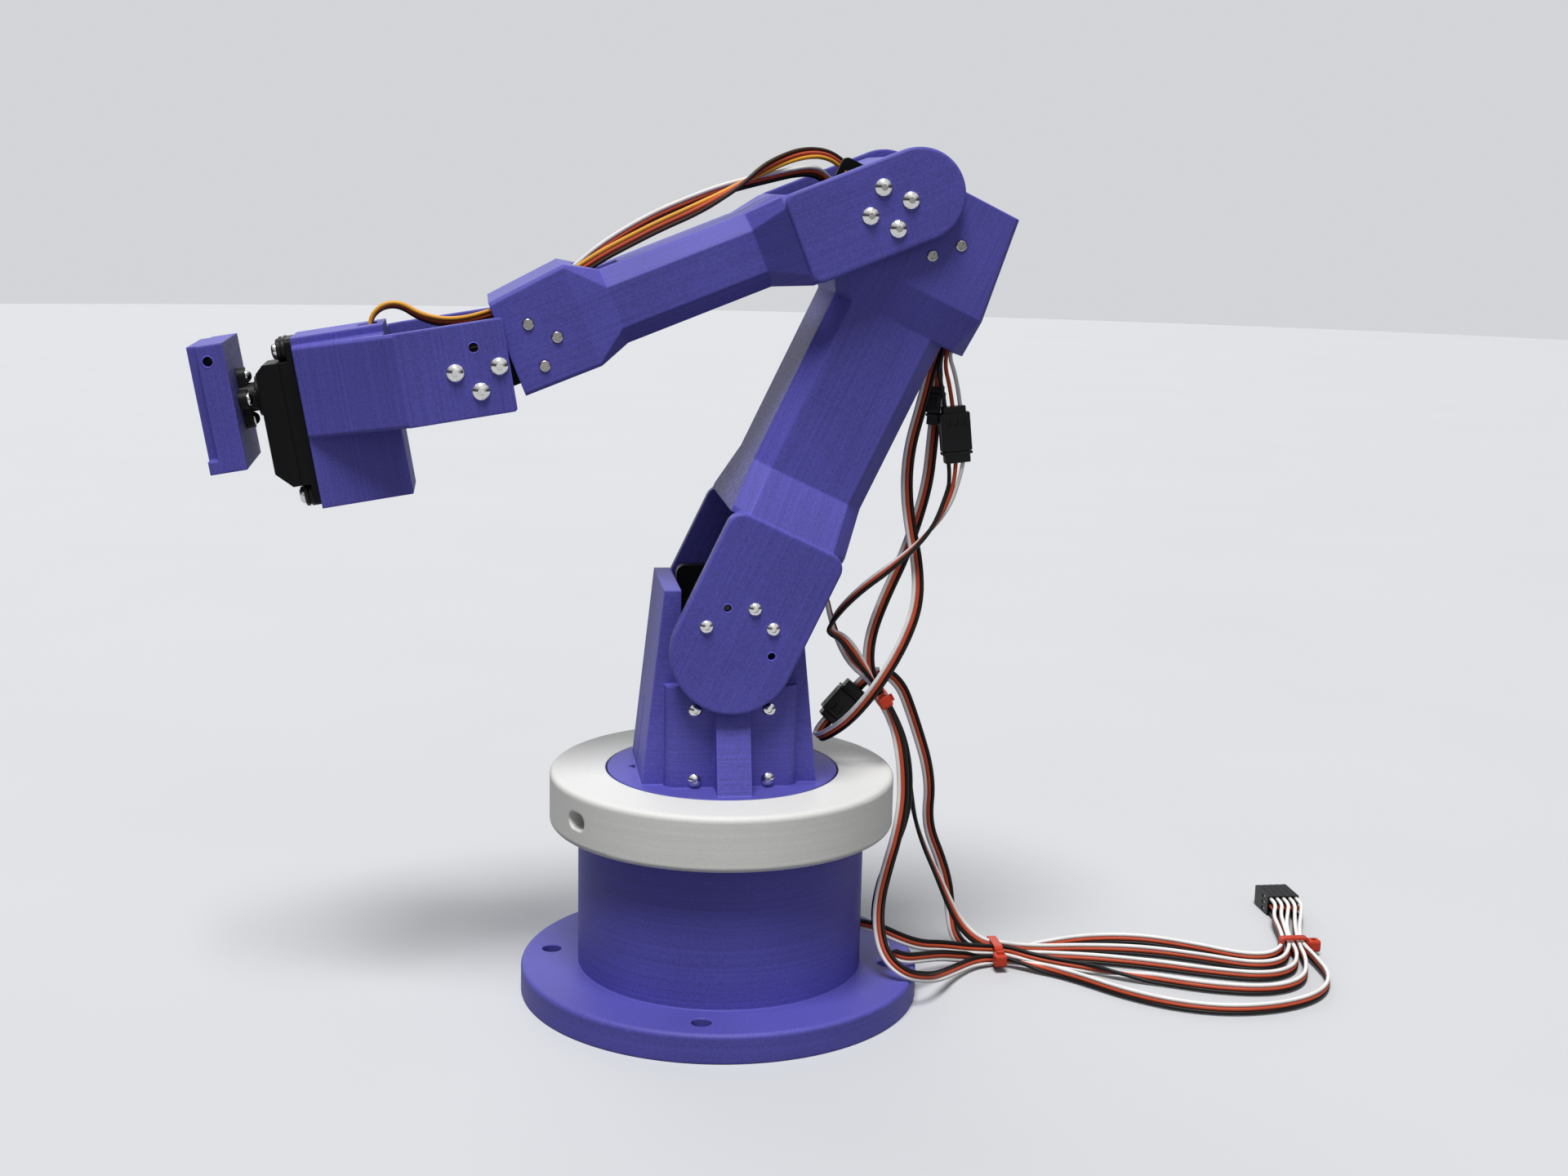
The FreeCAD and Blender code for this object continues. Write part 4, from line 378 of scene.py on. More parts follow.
class PlasticLook(PropertyGroup):
    """Colours of the moulded pieces."""

    case: FloatVectorProperty(
        name="Servo case", description="Colour of the servo cases", subtype="COLOR",
        size=3, min=0, max=1, default=(0.0035, 0.0035, 0.004),
    )
    shell: FloatVectorProperty(
        name="Connectors", description="Colour of the connectors", subtype="COLOR",
        size=3, min=0, max=1, default=(0.008, 0.008, 0.009),
    )
    tie: FloatVectorProperty(
        name="Ties", description="Colour of the cable ties", subtype="COLOR",
        size=3, min=0, max=1, default=(0.56, 0.050, 0.022),
    )


class LeadLook(PropertyGroup):
    """Sizes of the flat servo leads."""

    wire: FloatProperty(
        name="Wire", description="Diameter of one wire of a flat lead", unit="LENGTH",
        default=0.00145, min=0.0005, max=0.003, precision=5,
    )
    pitch: FloatProperty(
        name="Pitch", description="Distance between the wires of a flat lead", unit="LENGTH",
        default=0.00140, min=0.0005, max=0.003, precision=5,
    )


class StageLook(PropertyGroup):
    """Floor and light."""

    floor: FloatVectorProperty(
        name="Floor", description="Colour of the floor and the backdrop", subtype="COLOR",
        size=3, min=0, max=1, default=(0.62, 0.63, 0.65),
    )
    key: FloatProperty(
        name="Key light", description="What the large overhead light adds to a white face",
        default=0.98, min=0, max=3,
    )
    fill: FloatProperty(
        name="Fill light", description="What the soft light from the front adds to a white face",
        default=0.095, min=0, max=3,
    )
    back: FloatProperty(
        name="Back light", description="What the soft light from behind adds to a white face",
        default=0.24, min=0, max=3,
    )
    around: FloatProperty(
        name="Light from around", description="Strength of the even light from all sides",
        default=0.17, min=0, max=2,
    )


class Number:
    """A number socket of a node: sums with it add Math nodes."""

    def __init__(self, nodes, socket):
        self.nodes = nodes
        self.socket = socket

    def math(self, operation, first, second=0.0):
        made = self.nodes.node("ShaderNodeMath", {"operation": operation}, {0: first, 1: second})
        return Number(self.nodes, made.outputs[0])

    def __add__(self, other):
        return self.math("ADD", self, other)

    def __sub__(self, other):
        return self.math("SUBTRACT", self, other)

    def __mul__(self, other):
        return self.math("MULTIPLY", self, other)

    def __truediv__(self, other):
        return self.math("DIVIDE", self, other)

    def __rsub__(self, other):
        return self.math("SUBTRACT", other, self)

    __radd__ = __add__
    __rmul__ = __mul__

    def sine(self):
        return self.math("SINE", self)

    def floor(self):
        return self.math("FLOOR", self)

    def size(self):
        return self.math("ABSOLUTE", self)

    def under(self, limit):
        return self.math("LESS_THAN", self, limit)


class Nodes:
    """A node tree, and short ways to add to it."""

    def __init__(self, tree):
        self.tree = tree

    def node(self, kind, settings=None, sockets=None):
        """Add a node, set its settings, and feed or set its sockets."""
        made = self.tree.nodes.new(kind)
        for key, value in (settings or {}).items():
            setattr(made, key, value)
        for key, value in (sockets or {}).items():
            self.feed(made.inputs[key], value)
        return made

    def feed(self, socket, value):
        if isinstance(value, Number):
            value = value.socket
        if isinstance(value, bpy.types.NodeSocket):
            self.tree.links.new(value, socket)
        else:
            socket.default_value = value

    def number(self, kind, settings=None, sockets=None, output=0):
        return Number(self, self.node(kind, settings, sockets).outputs[output])

    def mix(self, factor, first, second):
        """Mix two colours."""
        first, second = ((*part, 1) if isinstance(part, tuple) else part for part in (first, second))
        made = self.node(
            "ShaderNodeMix", {"data_type": "RGBA", "clamp_factor": True},
            {MIX_FACTOR: factor, MIX_FIRST: first, MIX_SECOND: second},
        )
        return made.outputs[MIX_RESULT]

    def along(self, at, axis):
        """How far a place lies along one axis."""
        parts = self.node("ShaderNodeSeparateXYZ", None, {0: at}).outputs
        return Number(self, parts["XYZ".index(axis)])

    def dot(self, first, second):
        """How far two directions agree."""
        return self.number(
            "ShaderNodeVectorMath", {"operation": "DOT_PRODUCT"}, {0: first, 1: second}, "Value",
        )

    def seen(self):
        """One where the camera, a reflection or something clear looks, else nought."""
        path = self.node("ShaderNodeLightPath").outputs
        camera, glossy, clear = (
            Number(self, path[key]) for key in ("Is Camera Ray", "Is Glossy Ray", "Is Transmission Ray")
        )
        return camera + glossy + clear


class Finish(Nodes):
    """A material with one principled shader."""

    def __init__(self, name, **constants):
        self.material = bpy.data.materials.new(name)
        self.material.use_nodes = True
        super().__init__(self.material.node_tree)
        self.shader = self.tree.nodes["Principled BSDF"]
        for key, value in constants.items():
            self.shader.inputs[key.replace("_", " ")].default_value = value

    def place(self, link="base"):
        """Object coordinates turned into a link's own frame."""
        origin, heading = LINKS[link]
        at = self.node("ShaderNodeTexCoord").outputs["Object"]
        return self.node(
            "ShaderNodeMapping", {"vector_type": "TEXTURE"},
            {
                "Vector": at,
                "Location": [value * MM for value in origin],
                "Rotation": (0, -math.radians(heading), 0),
            },
        ).outputs[0]

    def drawn_out(self, at, axis, times):
        """Coordinates in which a pattern is drawn out square to one axis."""
        scale = [1 / times] * 3
        scale["XYZ".index(axis)] = 1.0
        return self.node("ShaderNodeMapping", None, {"Vector": at, "Scale": scale}).outputs[0]

    def noise(self, at, scale, detail=2.0):
        return self.number(
            "ShaderNodeTexNoise", {"noise_dimensions": "3D"},
            {"Vector": at, "Scale": scale, "Detail": detail},
        )

    def soft_edge(self, radius):
        """Normal that is rounded at edges, and how far it turns there."""
        bevel = self.node("ShaderNodeBevel", {"samples": 4}, {"Radius": radius}).outputs[0]
        face = self.node("ShaderNodeNewGeometry").outputs["Normal"]
        return bevel, 1 - self.dot(bevel, face)

    def facing(self, way):
        """How far a face looks one way, in the piece's own coordinates."""
        return self.dot(self.node("ShaderNodeTexCoord").outputs["Normal"], way)

    def bump(self, height, distance, normal=None):
        """Raise the surface by a pattern, in metres, on top of a normal."""
        sockets = {"Height": height, "Distance": distance, "Strength": 1.0}
        if normal is not None:
            sockets["Normal"] = normal
        self.feed(self.shader.inputs["Normal"], self.node("ShaderNodeBump", None, sockets).outputs[0])

    def colour(self, value):
        self.feed(self.shader.inputs["Base Color"], value)

    def rough(self, value):
        self.feed(self.shader.inputs["Roughness"], value)


def shade(colour, times):
    """A colour made darker or lighter."""
    return tuple(min(1.0, part * times) for part in colour)


def printed(name, look, colour, link, stack, contrast=1.0, rough_side=None):
    """Layered print: the layers stack along one axis of the link, and a rough side has specks."""
    finish = Finish(name, Specular_IOR_Level=0.35)
    at = finish.place(link)
    layer = finish.along(at, stack) / look.layer
    each = finish.number(
        "ShaderNodeTexWhiteNoise", {"noise_dimensions": "1D"}, {"W": layer.floor()},
    )
    streak = finish.noise(finish.drawn_out(at, stack, times=160.0), scale=1300.0, detail=3.0)
    grain = finish.noise(at, scale=1500.0, detail=3.0)
    cloud = finish.noise(at, scale=22.0)
    sway = (streak - 0.5) * 0.85 + (grain - 0.5) * 1.3 + (each - 0.5) * 0.15 + (cloud - 0.5) * 0.8
    normal, highlight_bend = finish.soft_edge(look.edge)
    body = finish.mix(0.5 + sway * contrast, shade(colour, LAYER_LOW), shade(colour, LAYER_HIGH))
    # Edges are painted lighter where the rounded normal turns: a painted highlight.
    body = finish.mix(highlight_bend * 2.4, body, shade(colour, EDGE_HIGHLIGHT))
    if rough_side:
        faced = 1 - finish.facing(rough_side).under(0.93)
        speck = (finish.noise(at, scale=900.0, detail=4.0) - 0.44) * 4.5
        body = finish.mix(faced, body, finish.mix(speck, shade(colour, ROUGH_LOW), ROUGH_SPECK))
    finish.colour(body)
    finish.rough(0.40 + grain * 0.22 + streak * 0.1)
    ridge = (layer * math.tau).sine() * 0.3
    finish.bump(ridge + streak * 1.6 + grain * 1.6, distance=0.000011, normal=normal)
    return finish.material


def moulded(name, colour, rough):
    """Moulded plastic with a fine grain, and softened edges painted lighter as a highlight."""
    finish = Finish(name, Specular_IOR_Level=0.2)
    at = finish.place()
    fine = finish.noise(at, scale=3200.0)
    soft = finish.noise(at, scale=90.0)
    normal, highlight_bend = finish.soft_edge(radius=0.0003)
    body = finish.mix(soft, shade(colour, 0.8), shade(colour, 1.25))
    # Edges are painted lighter where the rounded normal turns: a painted highlight.
    finish.colour(finish.mix(highlight_bend, body, shade(colour, 2.5)))
    finish.rough(rough + soft * 0.12 - 0.06)
    finish.bump(fine, distance=0.000006, normal=normal)
    return finish.material


def servo_case(name, colour, link, axis, seams):
    """Grained servo case, with the seams between its three shells in metres along an axis of the link."""
    finish = Finish(name, Specular_IOR_Level=0.14)
    at = finish.place(link)
    reach = finish.along(at, axis)
    fine = finish.noise(at, scale=2600.0)
    soft = finish.noise(at, scale=80.0)
    half_seam = 0.00022
    groove = sum((reach - seam).size().under(half_seam) for seam in seams)
    normal, highlight_bend = finish.soft_edge(radius=0.0005)
    body = finish.mix(soft, shade(colour, 0.7), shade(colour, 1.3))
    # Edges are painted lighter where the rounded normal turns: a painted highlight.
    body = finish.mix(highlight_bend, body, shade(colour, 3.0))
    finish.colour(finish.mix(groove, body, shade(colour, 0.2)))
    finish.rough(0.38 + fine * 0.2 + groove * 0.3)
    finish.bump(fine - groove * 8.0, distance=0.000014, normal=normal)
    return finish.material


def metal(name, colour, rough, wear=0.1):
    """Turned or plated metal with faint rubbing marks."""
    finish = Finish(name, Metallic=1.0)
    at = finish.place()
    fine = finish.noise(at, scale=1800.0, detail=4.0)
    soft = finish.noise(at, scale=250.0)
    finish.colour(finish.mix(soft, shade(colour, 0.88), shade(colour, 1.08)))
    finish.rough(rough + fine * wear)
    finish.bump(fine, distance=0.000003)
    return finish.material


def insulation(name, colour):
    """Soft lead insulation with dust and slight unevenness along the wire."""
    finish = Finish(name, Specular_IOR_Level=0.25)
    at = finish.place()
    soft = finish.noise(at, scale=160.0)
    fine = finish.noise(at, scale=2400.0)
    finish.colour(finish.mix(soft, shade(colour, 0.85), shade(colour, 1.12)))
    finish.rough(0.36 + fine * 0.2)
    finish.bump(fine + soft * 2.0, distance=0.00001)
    return finish.material


def dress(names, material):
    """Give CAD nodes one material."""
    for name in names:
        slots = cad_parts[name].material_slots
        for slot in slots:
            slot.material = material
        if not slots:
            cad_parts[name].data.materials.append(material)


def piece(name, data):
    """Put an object of its own into the scene."""
    made = bpy.data.objects.new(name, data)
    bpy.context.scene.collection.objects.link(made)
    return made


def settle(bm):
    """Put points and faces into one order, because operators leave them in an order that varies."""
    points = sorted(bm.verts, key=lambda vert: [round(value, 7) for value in vert.co])
    ranks = {vert: rank for rank, vert in enumerate(points)}
    faces = sorted(bm.faces, key=lambda face: sorted(ranks[vert] for vert in face.verts))
    order = {face: rank for rank, face in enumerate(faces)}
    bm.verts.sort(key=lambda vert: ranks[vert])
    bm.faces.sort(key=lambda face: order[face])


def finished(name, bm, materials, smooth=False):
    """Make an object of a bmesh, its faces pointing outwards."""
    bmesh.ops.recalc_face_normals(bm, faces=bm.faces)
    for face in bm.faces:
        face.smooth = smooth
    settle(bm)
    mesh = bpy.data.meshes.new(name)
    bm.to_mesh(mesh)
    bm.free()
    for material in materials:
        mesh.materials.append(material)
    return piece(name, mesh)


def aimed(run, across, middle):
    """Place of a part: its middle in millimetres, its Z axis along a run and its X axis across it."""
    ahead = Vector(run).normalized()
    side = Vector(across)
    side = (side - ahead * side.dot(ahead)).normalized()
    turn = Matrix((side, ahead.cross(side), ahead)).transposed().to_4x4()
    return Matrix.Translation(Vector(middle) * MM) @ turn


def block(bm, low, high, edge):
    """Box with softened edges between two corners, all in millimetres."""
    size = [b - a for a, b in zip(low, high)]
    middle = [(a + b) / 2 for a, b in zip(low, high)]
    spread = Matrix.Diagonal((*[part * MM for part in size], 1))
    place = Matrix.Translation(Vector(middle) * MM) @ spread
    verts = bmesh.ops.create_cube(bm, size=1, matrix=place)["verts"]
    edges = list({e for vert in verts for e in vert.link_edges})
    bmesh.ops.bevel(
        bm, geom=edges, offset=edge * MM, offset_type="OFFSET", segments=2, profile=0.5, affect="EDGES",
        material=-1, clamp_overlap=True,
    )


def looking(bm, ahead):
    """Faces that look one way."""
    return [face for face in bm.faces if face.normal.dot(ahead) > 0.9]


def pockets(bm, facing, spots, size, depth, material):
    """Sink small windows into the faces that look one way, and give their floors a material."""
    ahead = Vector(facing)
    axes = [index for index in range(3) if abs(ahead[index]) < 0.5]
    skin, draft = 0.4, 0.04
    for spot in spots:
        at = Vector(spot) * MM
        for index, wide in zip(axes, size):
            for side in (-1, 1):
                cut = at.copy()
                cut[index] += side * wide * MM / 2
                across = Vector((0, 0, 0))
                across[index] = 1.0
                near = [
                    face for face in looking(bm, ahead)
                    if (face.calc_center_median() - at).dot(ahead) > -skin * MM
                ]
                geom = list({part for face in near for part in (face, *face.edges, *face.verts)})
                bmesh.ops.bisect_plane(bm, geom=geom, dist=1e-7, plane_co=cut, plane_no=across)
        bm.normal_update()
        hit = min(looking(bm, ahead), key=lambda face: (face.calc_center_median() - at).length)
        bmesh.ops.inset_individual(bm, faces=[hit], thickness=draft * MM, depth=-depth * MM)
        hit.material_index = material


def line_of(name, route):
    """Points of the smooth line that a route's control points give."""
    curve = bpy.data.curves.new(name + "_route", "CURVE")
    curve.dimensions = "3D"
    spline = curve.splines.new("NURBS")
    spline.points.add(len(route) - 1)
    for point, place in zip(spline.points, route):
        point.co = (*[value * MM for value in place], 1)
    spline.order_u = 3
    spline.use_endpoint_u = True
    spline.resolution_u = LINE_STEPS
    holder = piece(name + "_route", curve)
    mesh = bpy.data.meshes.new_from_object(holder)
    points = [vertex.co.copy() for vertex in mesh.vertices]
    bpy.data.objects.remove(holder)
    bpy.data.curves.remove(curve)
    bpy.data.meshes.remove(mesh)
    return points


def between(stops, share):
    """The stops before and after a share of the length, and how far it is from one to the other."""
    before = [stop for stop in stops if stop[0] <= share][-1]
    after = ([stop for stop in stops if stop[0] > share] or [stops[-1]])[0]
    gap = after[0] - before[0]
    return before[1], after[1], (share - before[0]) / gap if gap > 0 else 0.0


def stations(points, lay, fan):
    """A frame at each point of a line, turned as the flat side lies, and the wires' spread there."""
    runs = [0.0]
    for first, second in zip(points, points[1:]):
        runs.append(runs[-1] + (second - first).length)
    made = []
    for index, point in enumerate(points):
        ahead = points[min(index + 1, len(points) - 1)] - points[max(index - 1, 0)]
        ahead.normalize()
        share = runs[index] / runs[-1]
        first, second, part = between(lay, share)
        across = Vector(first).normalized().lerp(Vector(second).normalized(), part)
        across = (across - ahead * across.dot(ahead)).normalized()
        turn = Matrix((across, ahead.cross(across), ahead)).transposed().to_4x4()
        narrow, wide, part = between(fan, share)
        made.append((Matrix.Translation(point) @ turn, narrow + (wide - narrow) * part))
    return made


def sweep(bm, rim, frames):
    """Carry an open loop of edges through the frames."""
    bmesh.ops.transform(bm, matrix=frames[0], verts=list({v for e in rim for v in e.verts}))
    for before, after in zip(frames, frames[1:]):
        made = bmesh.ops.extrude_edge_only(bm, edges=rim)["geom"]
        verts = [part for part in made if isinstance(part, bmesh.types.BMVert)]
        edges = [part for part in made if isinstance(part, bmesh.types.BMEdge)]
        fresh = set(verts)
        rim = [edge for edge in edges if fresh.issuperset(edge.verts)]
        bmesh.ops.transform(bm, matrix=after @ before.inverted(), verts=verts)


def flat_lead(name, points, lay, fan, look, wires):
    """Three round wires side by side along a line, one material each."""
    bm = bmesh.new()
    wire = bm.verts.layers.int.new("wire")
    line = stations(points, lay, fan)
    for index in range(len(wires)):
        ring = bmesh.ops.create_circle(bm, segments=WIRE_SIDES, radius=look.wire / 2)["verts"]
        for vert in ring:
            vert[wire] = index
        out = (index - 1) * look.pitch
        rim = list({e for vert in ring for e in vert.link_edges})
        sweep(bm, rim, [turn @ Matrix.Translation((out * spread, 0, 0)) for turn, spread in line])
    bmesh.ops.holes_fill(bm, edges=[edge for edge in bm.edges if edge.is_boundary])
    for face in bm.faces:
        face.material_index = face.verts[0][wire]
    return finished(name, bm, wires, smooth=True)


def join(bm, part, place):
    """Put a finished part into a piece at its place."""
    bmesh.ops.transform(part, matrix=place, verts=part.verts)
    mesh = bpy.data.meshes.new("part")
    part.to_mesh(mesh)
    part.free()
    bm.from_mesh(mesh)
    bpy.data.meshes.remove(mesh)


def in_line_connector(bm, length, place):
    """Plug and socket pushed together: body, narrow neck, lip and collar, with latch windows."""
    half = length / 2
    fresh = bmesh.new()
    # Half width, half depth, foot, top and edge of the body, the lip, the neck and the collar.
    for wide, deep, foot, top, edge in (
        (5.2, 2.5, 2.2 - half, half - 4.1, 0.4), (5.2, 2.5, half - 3.9, half - 2.9, 0.25),
        (4.4, 2.1, half - 4.4, half, 0.3), (4.0, 2.0, -half, 2.6 - half, 0.3),
    ):
        block(fresh, (-wide, -deep, foot), (wide, deep, top), edge)
    for side in (-1, 1):
        windows = [(column, side * 2.5, 5.4 - half) for column in (-2.6, 0, 2.6)]
        pockets(fresh, (0, side, 0), windows, size=(1.5, 2.4), depth=0.35, material=0)
    for side in (-1, 1):
        rib = side * 5.0
        block(fresh, (rib - 0.2, -1.4, 3.2 - half), (rib + 0.2, 1.4, half - 5.2), 0.15)
    join(bm, fresh, place)


def end_plug(bm, middle):
    """Slim three-way plug on the floor, with clip windows, sockets in front and wire holes behind."""
    deep, long, foot, top = 1.25, 14.0, -3.8, 3.9
    fresh = bmesh.new()
    block(fresh, (-deep, 0.0, foot), (deep, long, top), 0.3)
    for side in (-1, 1):
        windows = [(side * deep, 4.6, level) for level in WIRE_LEVELS]
        pockets(fresh, (side, 0, 0), windows, size=(3.0, 1.3), depth=0.45, material=1)
    sockets = [(0, long, level) for level in WIRE_LEVELS]
    pockets(fresh, (0, 1, 0), sockets, size=(1.0, 1.0), depth=3.0, material=0)
    holes = [(0, 0.0, level) for level in WIRE_LEVELS]
    pockets(fresh, (0, -1, 0), holes, size=(1.5, 1.5), depth=1.2, material=0)
    join(bm, fresh, Matrix.Translation(Vector(middle) * MM))


def cable_tie(bm, middle, run, across, room, head_side):
    """Strap with round corners, its box head with the slot, and the cut tail."""
    thick, wide, corner, head = 0.9, 3.0, 1.5, 4.6
    fresh = bmesh.new()
    sides = [part / 2 + thick for part in room]
    place = Matrix.Diagonal((2 * sides[0] * MM, 2 * sides[1] * MM, wide * MM, 1))
    bmesh.ops.create_cube(fresh, size=1, matrix=place)
    fresh.normal_update()
    ends = [face for face in fresh.faces if abs(face.normal.z) > 0.9]
    bmesh.ops.delete(fresh, geom=ends, context="FACES_ONLY")
    corners = [
        edge for edge in fresh.edges if abs(edge.verts[0].co.z - edge.verts[1].co.z) > wide * MM / 2
    ]
    bmesh.ops.bevel(
        fresh, geom=corners, offset=corner * MM, offset_type="OFFSET", segments=6, profile=0.5,
        affect="EDGES", material=-1, clamp_overlap=True,
    )
    bmesh.ops.recalc_face_normals(fresh, faces=fresh.faces)
    bmesh.ops.solidify(fresh, geom=fresh.faces[:], thickness=thick * MM)
    edge = sides[0] * head_side
    low, high = sorted((edge - 0.3 * head_side, edge + head * head_side))
    block(fresh, (low, -head / 2, -head / 2), (high, head / 2, head / 2), 0.9)
    slot = (low + high) / 2
    for side in (1, -1):
        mouth = [(slot, side * head / 2, 0)]
        pockets(fresh, (0, side, 0), mouth, size=(1.4, 2.8), depth=1.2, material=0)
    block(fresh, (slot - 0.5, head / 2 - 0.8, -1.3), (slot + 0.5, head / 2 + 1.1, 1.3), 0.2)
    join(bm, fresh, aimed(run, across, middle))


def lathe(bm, outline, closed, material=0):
    """Turn an outline of (radius, height) points in millimetres about the Z axis."""
    fresh = bmesh.new()
    verts = [fresh.verts.new((radius * MM, 0, height * MM)) for radius, height in outline]
    edges = [fresh.edges.new(pair) for pair in zip(verts, verts[1:])]
    if closed:
        edges.append(fresh.edges.new((verts[-1], verts[0])))
    bmesh.ops.spin(
        fresh, geom=[*verts, *edges], cent=(0, 0, 0), axis=(0, 0, 1), angle=math.tau, steps=TURN_STEPS,
        use_merge=True,
    )
    bmesh.ops.remove_doubles(fresh, verts=fresh.verts, dist=0.001 * MM)
    for face in fresh.faces:
        face.material_index = material
    join(bm, fresh, Matrix.Identity(4))


def on_link(link, spot):
    """World point in millimetres of a point (along, across, off) in a link's own frame."""
    origin, heading = LINKS[link]
    turn = math.radians(heading)
    along, across, off = spot
    out = along * math.cos(turn) - off * math.sin(turn)
    up = along * math.sin(turn) + off * math.cos(turn)
    return Vector(origin) + Vector((out, across, up))


def way_on_link(link, way):
    """World direction of a direction (along, across, off) in a link's own frame."""
    return on_link(link, way) - on_link(link, (0, 0, 0))


class ARM_OT_prints(Operator):
    """Dress the printed pieces"""

    bl_idname = "arm.prints"
    bl_label = "Printed pieces"

    def execute(self, context):
        look = context.scene.arm_prints
        purple = tuple(look.purple)
        for node, (name, link, stack, rough) in PRINTS.items():
            rough_side = way_on_link(link, rough) if rough else None
            dress([node], printed(name, look, purple, link, stack, rough_side=rough_side))
        ring = printed("Ring print", look, tuple(look.white), "base", "Z", contrast=0.25)
        dress(["bearing_ring"], ring)
        return {"FINISHED"}


class ARM_OT_servos(Operator):
    """Dress the servos, horns and clamps"""

    bl_idname = "arm.servos"
    bl_label = "Servos"

    def execute(self, context):
        colour = tuple(context.scene.arm_plastics.case)
        for name, (servos, link, axis, seams) in CASES.items():
            dress(servos, servo_case(name, colour, link, axis, seams))
        dress(HORNS + CLAMPS, moulded("Horn plastic", (0.007, 0.007, 0.008), rough=0.45))
        return {"FINISHED"}


class ARM_OT_fasteners(Operator):
    """Dress the screws, shafts, bearings and balls"""

    bl_idname = "arm.fasteners"
    bl_label = "Fasteners"

    def execute(self, context):
        for name, (colour, rough, wear, nodes) in METALS.items():
            dress(nodes, metal(name, colour, rough, wear))
        return {"FINISHED"}


class ARM_OT_grommets(Operator):
    """Put ridged rubber grommets and domed screw heads on the ears of the roll servo"""

    bl_idname = "arm.grommets"
    bl_label = "Grommets"

    def execute(self, context):
        rubber = moulded("Grommet rubber", (0.010, 0.010, 0.010), rough=0.42)
        head = metal("Ear screw", (0.62, 0.61, 0.60), rough=0.07, wear=0.08)
        bm = bmesh.new()
        ahead = way_on_link("wrist", (1, 0, 0))
        for drop in EAR_DROPS:
            for side in EAR_SIDES:
                fresh = bmesh.new()
                lathe(fresh, GROMMET, closed=True)
                lathe(fresh, EAR_HEAD, closed=False, material=1)
                join(bm, fresh, aimed(ahead, (0, 1, 0), on_link("wrist", (EAR_FACE, side, drop))))
        made = finished("ear_grommets", bm, [rubber, head])
        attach(made, "wrist")
        return {"FINISHED"}


class ARM_OT_rims(Operator):
    """Put the raised rims of first layers round the empty holes of the plates, with a painted highlight"""

    bl_idname = "arm.rims"
    bl_label = "Hole rims"

    def execute(self, context):
        # The rims take the print's purple made lighter: a painted highlight.
        colour = shade(tuple(context.scene.arm_prints.purple), RIM_HIGHLIGHT)
        plastic = moulded("Rim print highlight", colour, rough=0.45)
        rims = {
            link: (bore, [on_link(link, spot) for spot in spots])
            for link, (bore, spots) in RIMMED_HOLES.items()
        }
        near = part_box("tool_plate")[0][1] / MM
        rims["tool"] = (TOOL_BORE, [(TOOL_HOLE[0], near, TOOL_HOLE[1])])
        for body, (bore, spots) in rims.items():
            bm = bmesh.new()
            for spot in spots:
                fresh = bmesh.new()
                lathe(fresh, [(bore + out, height) for out, height in RIM], closed=True)
                join(bm, fresh, aimed((0, -1, 0), (1, 0, 0), spot))
            made = finished(body + "_hole_rims", bm, [plastic], smooth=True)
            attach(made, body)
        return {"FINISHED"}


class ARM_OT_connectors(Operator):
    """Build the in-line connectors and the end plugs"""

    bl_idname = "arm.connectors"
    bl_label = "Connectors"

    def execute(self, context):
        shell = moulded("Connector plastic", tuple(context.scene.arm_plastics.shell), rough=0.36)
        clip = metal("Tinned clip", (0.72, 0.70, 0.66), rough=0.25)
        for name, runs in IN_LINES.items():
            bm = bmesh.new()
            for start, end, length, lie in runs:
                run = Vector(end) - Vector(start)
                across = lie or Vector((0, 1, 0)).cross(run)
                in_line_connector(bm, length, aimed(run, across, (Vector(start) + Vector(end)) / 2))
            made = finished("detailed_" + name, bm, [shell])
            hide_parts(name)
            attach(made, "upper_arm" if name == "in_line_connectors" else "turntable")
        bm = bmesh.new()
        for index in range(PLUGS):
            end_plug(bm, Vector(PLUG_START) + Vector((PLUG_STEP * index, 0, 0)))
        made = finished("detailed_lead_plugs", bm, [shell, clip])
        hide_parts("lead_plugs")
        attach(made, "base")
        return {"FINISHED"}


class ARM_OT_leads(Operator):
    """Lay the flat servo leads along their routes"""

    bl_idname = "arm.leads"
    bl_label = "Leads"

    def execute(self, context):
        look = context.scene.arm_leads
        coats = {name: insulation(name.capitalize() + " wire", colour) for name, colour in INSULATION.items()}
        for name, route in ROUTES.items():
            points = line_of(name, route)
            wires = [coats[wire] for wire in (AMBER_WIRES if name in AMBER_LEADS else PLAIN_WIRES)]
            length, far_end = LENGTHS[name]
            fan = FANS.get(name) or FANS.get(far_end) or FANS["other"]
            lead = flat_lead("flat_" + name, points, LAYS[name], fan, look, wires)
            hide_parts(name)
            if name in FLEXES:
                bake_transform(lead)
            else:
                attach(lead, RIDES[name])
        return {"FINISHED"}


class ARM_OT_ties(Operator):
    """Build the cable ties"""

    bl_idname = "arm.ties"
    bl_label = "Cable ties"

    def execute(self, context):
        nylon = moulded("Tie plastic", tuple(context.scene.arm_plastics.tie), rough=0.32)
        for name, ties in TIES.items():
            bm = bmesh.new()
            for tie in ties:
                cable_tie(bm, *tie)
            made = finished("detailed_" + name, bm, [nylon])
            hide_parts(name)
            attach(made, "turntable" if name == "drop_tie" else "base")
        return {"FINISHED"}


def lamp(name, place, level, softness):
    """Distant light from a direction: the level is what it adds to a white face, one being white."""
    light = bpy.data.lights.new(name, "SUN")
    light.energy = level * math.pi
    light.angle = math.radians(softness)
    piece(name, light).rotation_euler = Vector(place).to_track_quat("Z", "Y").to_euler()


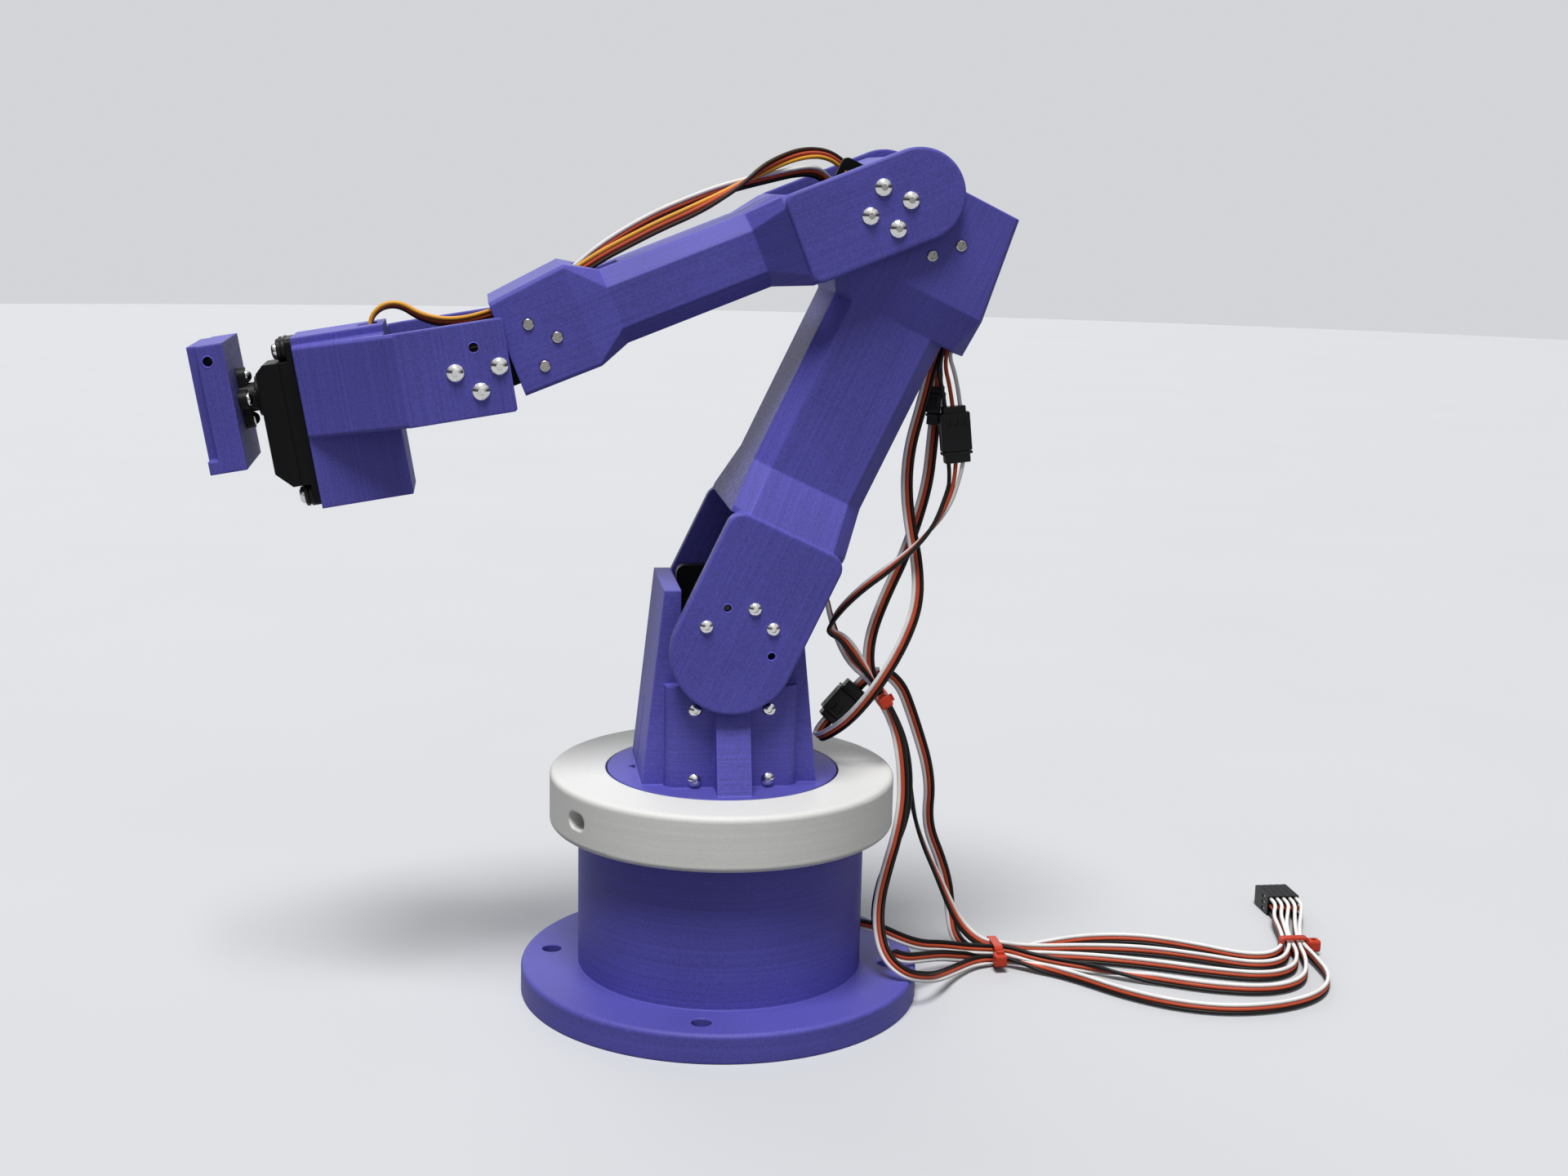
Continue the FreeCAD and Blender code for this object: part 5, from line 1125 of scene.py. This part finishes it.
class ARM_OT_stage(Operator):
    """Set the floor, the light and the camera"""

    bl_idname = "arm.stage"
    bl_label = "Stage"

    def execute(self, context):
        look = context.scene.arm_stage
        scene = context.scene
        pale = tuple(look.floor)
        bm = bmesh.new()
        bmesh.ops.create_circle(bm, cap_ends=True, segments=96, radius=FLOOR_RADIUS)
        mesh = bpy.data.meshes.new("floor")
        bm.to_mesh(mesh)
        bm.free()
        floor = piece("floor", mesh)
        floor.location.z = -FLOOR_DROP
        finish = Finish("Floor", Roughness=0.75, Specular_IOR_Level=0.2)
        cloud = finish.noise(finish.place(), scale=6.0)
        seen = finish.mix(cloud, shade(pale, 0.98), shade(pale, 1.02))
        finish.colour(finish.mix(finish.seen(), shade(pale, 0.16), seen))
        mesh.materials.append(finish.material)

        world = bpy.data.worlds.new("Studio")
        world.use_nodes = True
        nodes = Nodes(world.node_tree)
        path = nodes.node("ShaderNodeLightPath").outputs
        height = nodes.along(nodes.node("ShaderNodeTexCoord").outputs["Generated"], "Z")
        mirror = nodes.mix(height * 2.2 - 0.5, MIRROR_LOW, MIRROR_HIGH)
        shown = nodes.mix(path["Is Glossy Ray"], shade(pale, 1.05), mirror)
        even = shade(EVEN_TINT, look.around)
        background = world.node_tree.nodes["Background"]
        nodes.feed(background.inputs["Color"], nodes.mix(nodes.seen(), even, shown))
        scene.world = world
        for name, (place, softness) in LAMPS.items():
            lamp(name, place, getattr(look, name), softness)
        scene.view_settings.view_transform = "Standard"

        turn, tilt, roll = (math.radians(angle) for angle in (CAMERA_TURN, CAMERA_TILT, CAMERA_ROLL))
        ahead = Vector(
            (-math.sin(turn) * math.cos(tilt), math.cos(turn) * math.cos(tilt), -math.sin(tilt))
        )
        right = ahead.cross(Vector((0, 0, 1))).normalized()
        up = right.cross(ahead)
        across = right * math.cos(roll) + up * math.sin(roll)
        upward = up * math.cos(roll) - right * math.sin(roll)
        view = bpy.data.cameras.new("camera")
        view.sensor_fit = "HORIZONTAL"
        view.sensor_width = SENSOR
        view.lens = SENSOR * FOCAL_LENGTH / PICTURE_WIDTH
        view.clip_start = 0.01
        view.clip_end = 50
        camera = piece("camera", view)
        aim = Matrix((across, upward, -ahead)).transposed().to_4x4()
        camera.matrix_world = Matrix.Translation(CAMERA_PLACE) @ aim
        scene.camera = camera
        return {"FINISHED"}


class ARM_PT_panel(Panel):
    """Settings and steps of the robot arm"""

    bl_idname = "ARM_PT_panel"
    bl_label = "Robot arm"
    bl_space_type = "VIEW_3D"
    bl_region_type = "UI"
    bl_category = "Robot arm"

    def draw(self, context):
        layout = self.layout
        for group in GROUPS:
            box = layout.box()
            look = getattr(context.scene, group)
            for key in look.__annotations__:
                box.prop(look, key)
        for step in STEPS:
            layout.operator(step.bl_idname)


STEPS = (
    ARM_OT_prints, ARM_OT_servos, ARM_OT_fasteners, ARM_OT_grommets, ARM_OT_rims, ARM_OT_connectors,
    ARM_OT_leads, ARM_OT_ties, ARM_OT_stage,
)
GROUPS = {
    "arm_prints": PrintLook, "arm_plastics": PlasticLook, "arm_leads": LeadLook, "arm_stage": StageLook,
}


def register():
    for group in GROUPS.values():
        bpy.utils.register_class(group)
    for name, group in GROUPS.items():
        setattr(bpy.types.Scene, name, PointerProperty(type=group))
    for step in STEPS:
        bpy.utils.register_class(step)
    bpy.utils.register_class(ARM_PT_panel)


def unregister():
    bpy.utils.unregister_class(ARM_PT_panel)
    for step in reversed(STEPS):
        bpy.utils.unregister_class(step)
    for name, group in GROUPS.items():
        delattr(bpy.types.Scene, name)
        bpy.utils.unregister_class(group)


def main():
    register()
    bpy.ops.arm.prints()
    bpy.ops.arm.servos()
    bpy.ops.arm.fasteners()
    bpy.ops.arm.grommets()
    bpy.ops.arm.rims()
    bpy.ops.arm.connectors()
    bpy.ops.arm.leads()
    bpy.ops.arm.ties()
    bpy.ops.arm.stage()


if __name__ == "__main__":
    main()
